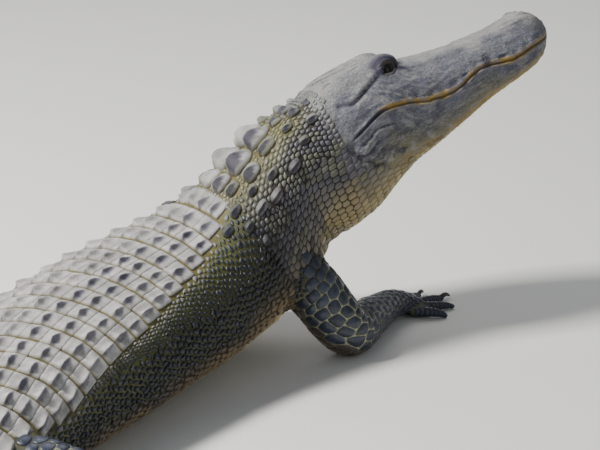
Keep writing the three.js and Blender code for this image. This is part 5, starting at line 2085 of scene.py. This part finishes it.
def view_axes():
    a, e = math.radians(VIEW["azimuth"]), math.radians(VIEW["elevation"])
    back = np.array([math.sin(a) * math.cos(e), -math.cos(a) * math.cos(e), math.sin(e)])
    right = unit(np.cross(-back, (0, 0, 1)))
    return right, np.cross(right, -back), back


def place_camera():
    right, up, back = view_axes()
    distance, scale = VIEW["distance"], VIEW["pixels_per_metre"]
    dx = (VIEW["pixel"][0] - FRAME_SIZE[0] / 2) / scale
    dy = (FRAME_SIZE[1] / 2 - VIEW["pixel"][1]) / scale
    spot = np.array(VIEW["anchor"]) + back * distance - right * dx - up * dy
    data = bpy.data.cameras.new("camera")
    data.sensor_fit = "HORIZONTAL"
    data.sensor_width = SENSOR
    data.lens = SENSOR * scale * distance / FRAME_SIZE[0]
    data.clip_end = 50
    camera = linked("camera", data)
    turn = np.eye(4)
    turn[:3] = np.column_stack([right, up, back, spot])
    camera.matrix_world = Matrix(turn.tolist())
    bpy.context.scene.camera = camera


def place_light(name, share, distance, size, power, tint):
    """Square soft light that looks at the animal."""
    right, _, back = view_axes()
    away = unit(share[0] * right + share[1] * np.array([0, 0, 1]) + share[2] * unit(back * (1, 1, 0)))
    data = bpy.data.lights.new(name, "AREA")
    data.size = size
    data.energy = power
    data.color = tint
    light = linked(name, data)
    light.location = LIT_PLACE + Vector(away * distance)
    light.rotation_euler = Vector(away).to_track_quat("Z", "Y").to_euler()


def place_floor():
    corners = [(-1, -1), (1, -1), (1, 1), (-1, 1)]
    mesh = bpy.data.meshes.new("floor")
    mesh.from_pydata([(x * FLOOR_HALF, y * FLOOR_HALF, FLOOR_DROP) for x, y in corners], [], [(0, 1, 2, 3)])
    material = bpy.data.materials.new("floor")
    material.use_nodes = True
    shader = material.node_tree.nodes["Principled BSDF"]
    shader.inputs["Base Color"].default_value = FLOOR_TINT
    shader.inputs["Roughness"].default_value = FLOOR_ROUGH
    mesh.materials.append(material)
    floor = linked("floor", mesh)


def set_stage():
    place_floor()
    for name, settings in LIGHTS.items():
        place_light(name, *settings)
    world = bpy.data.worlds.new("studio")
    world.use_nodes = True
    background = world.node_tree.nodes["Background"]
    background.inputs["Color"].default_value = SKY_TINT
    background.inputs["Strength"].default_value = SKY_STRENGTH
    bpy.context.scene.world = world


def build():
    skin, body_rings, head_rings = whole_skin()
    # Roughness, mottling and grain of each hide
    skin_hide = hide("hide_skin", 0.56, 0.16, 1.0, head=True)
    scute_hide = hide("hide_scute", 0.62, 0.24, 1.3)
    scale_hide = hide("hide_scale", 0.46, 0.20, 0.8)
    pale_hide = hide("hide_pale", 0.52, 0.12, 0.6)
    limb_hide = hide("hide_limb", 0.33, 0.18, 0.6)
    skin_paint(skin, body_rings, head_rings)
    finished(skin, skin_hide)
    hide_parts(*[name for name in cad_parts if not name.startswith("eye_")])
    ground = Ground(skin.data)
    back_scutes(scute_hide)
    tall_scutes(scute_hide)
    for side in (1, -1):
        flank_scales(side, ground, scale_hide)
        lids(side, skin_hide)
        eye(side, eye_gloss("eye_" + str(side + 1)))
    neck_scales(ground, scale_hide)
    belly_scales(ground, pale_hide)
    tail_scales(ground, scale_hide)
    chin_scales(pale_hide)
    for index in range(len(LIMBS)):
        limb_scales(index, ground, limb_hide)
    fill_scales(skin, scale_hide)
    claws(horn("claw_horn"))


build()
place_camera()
set_stage()
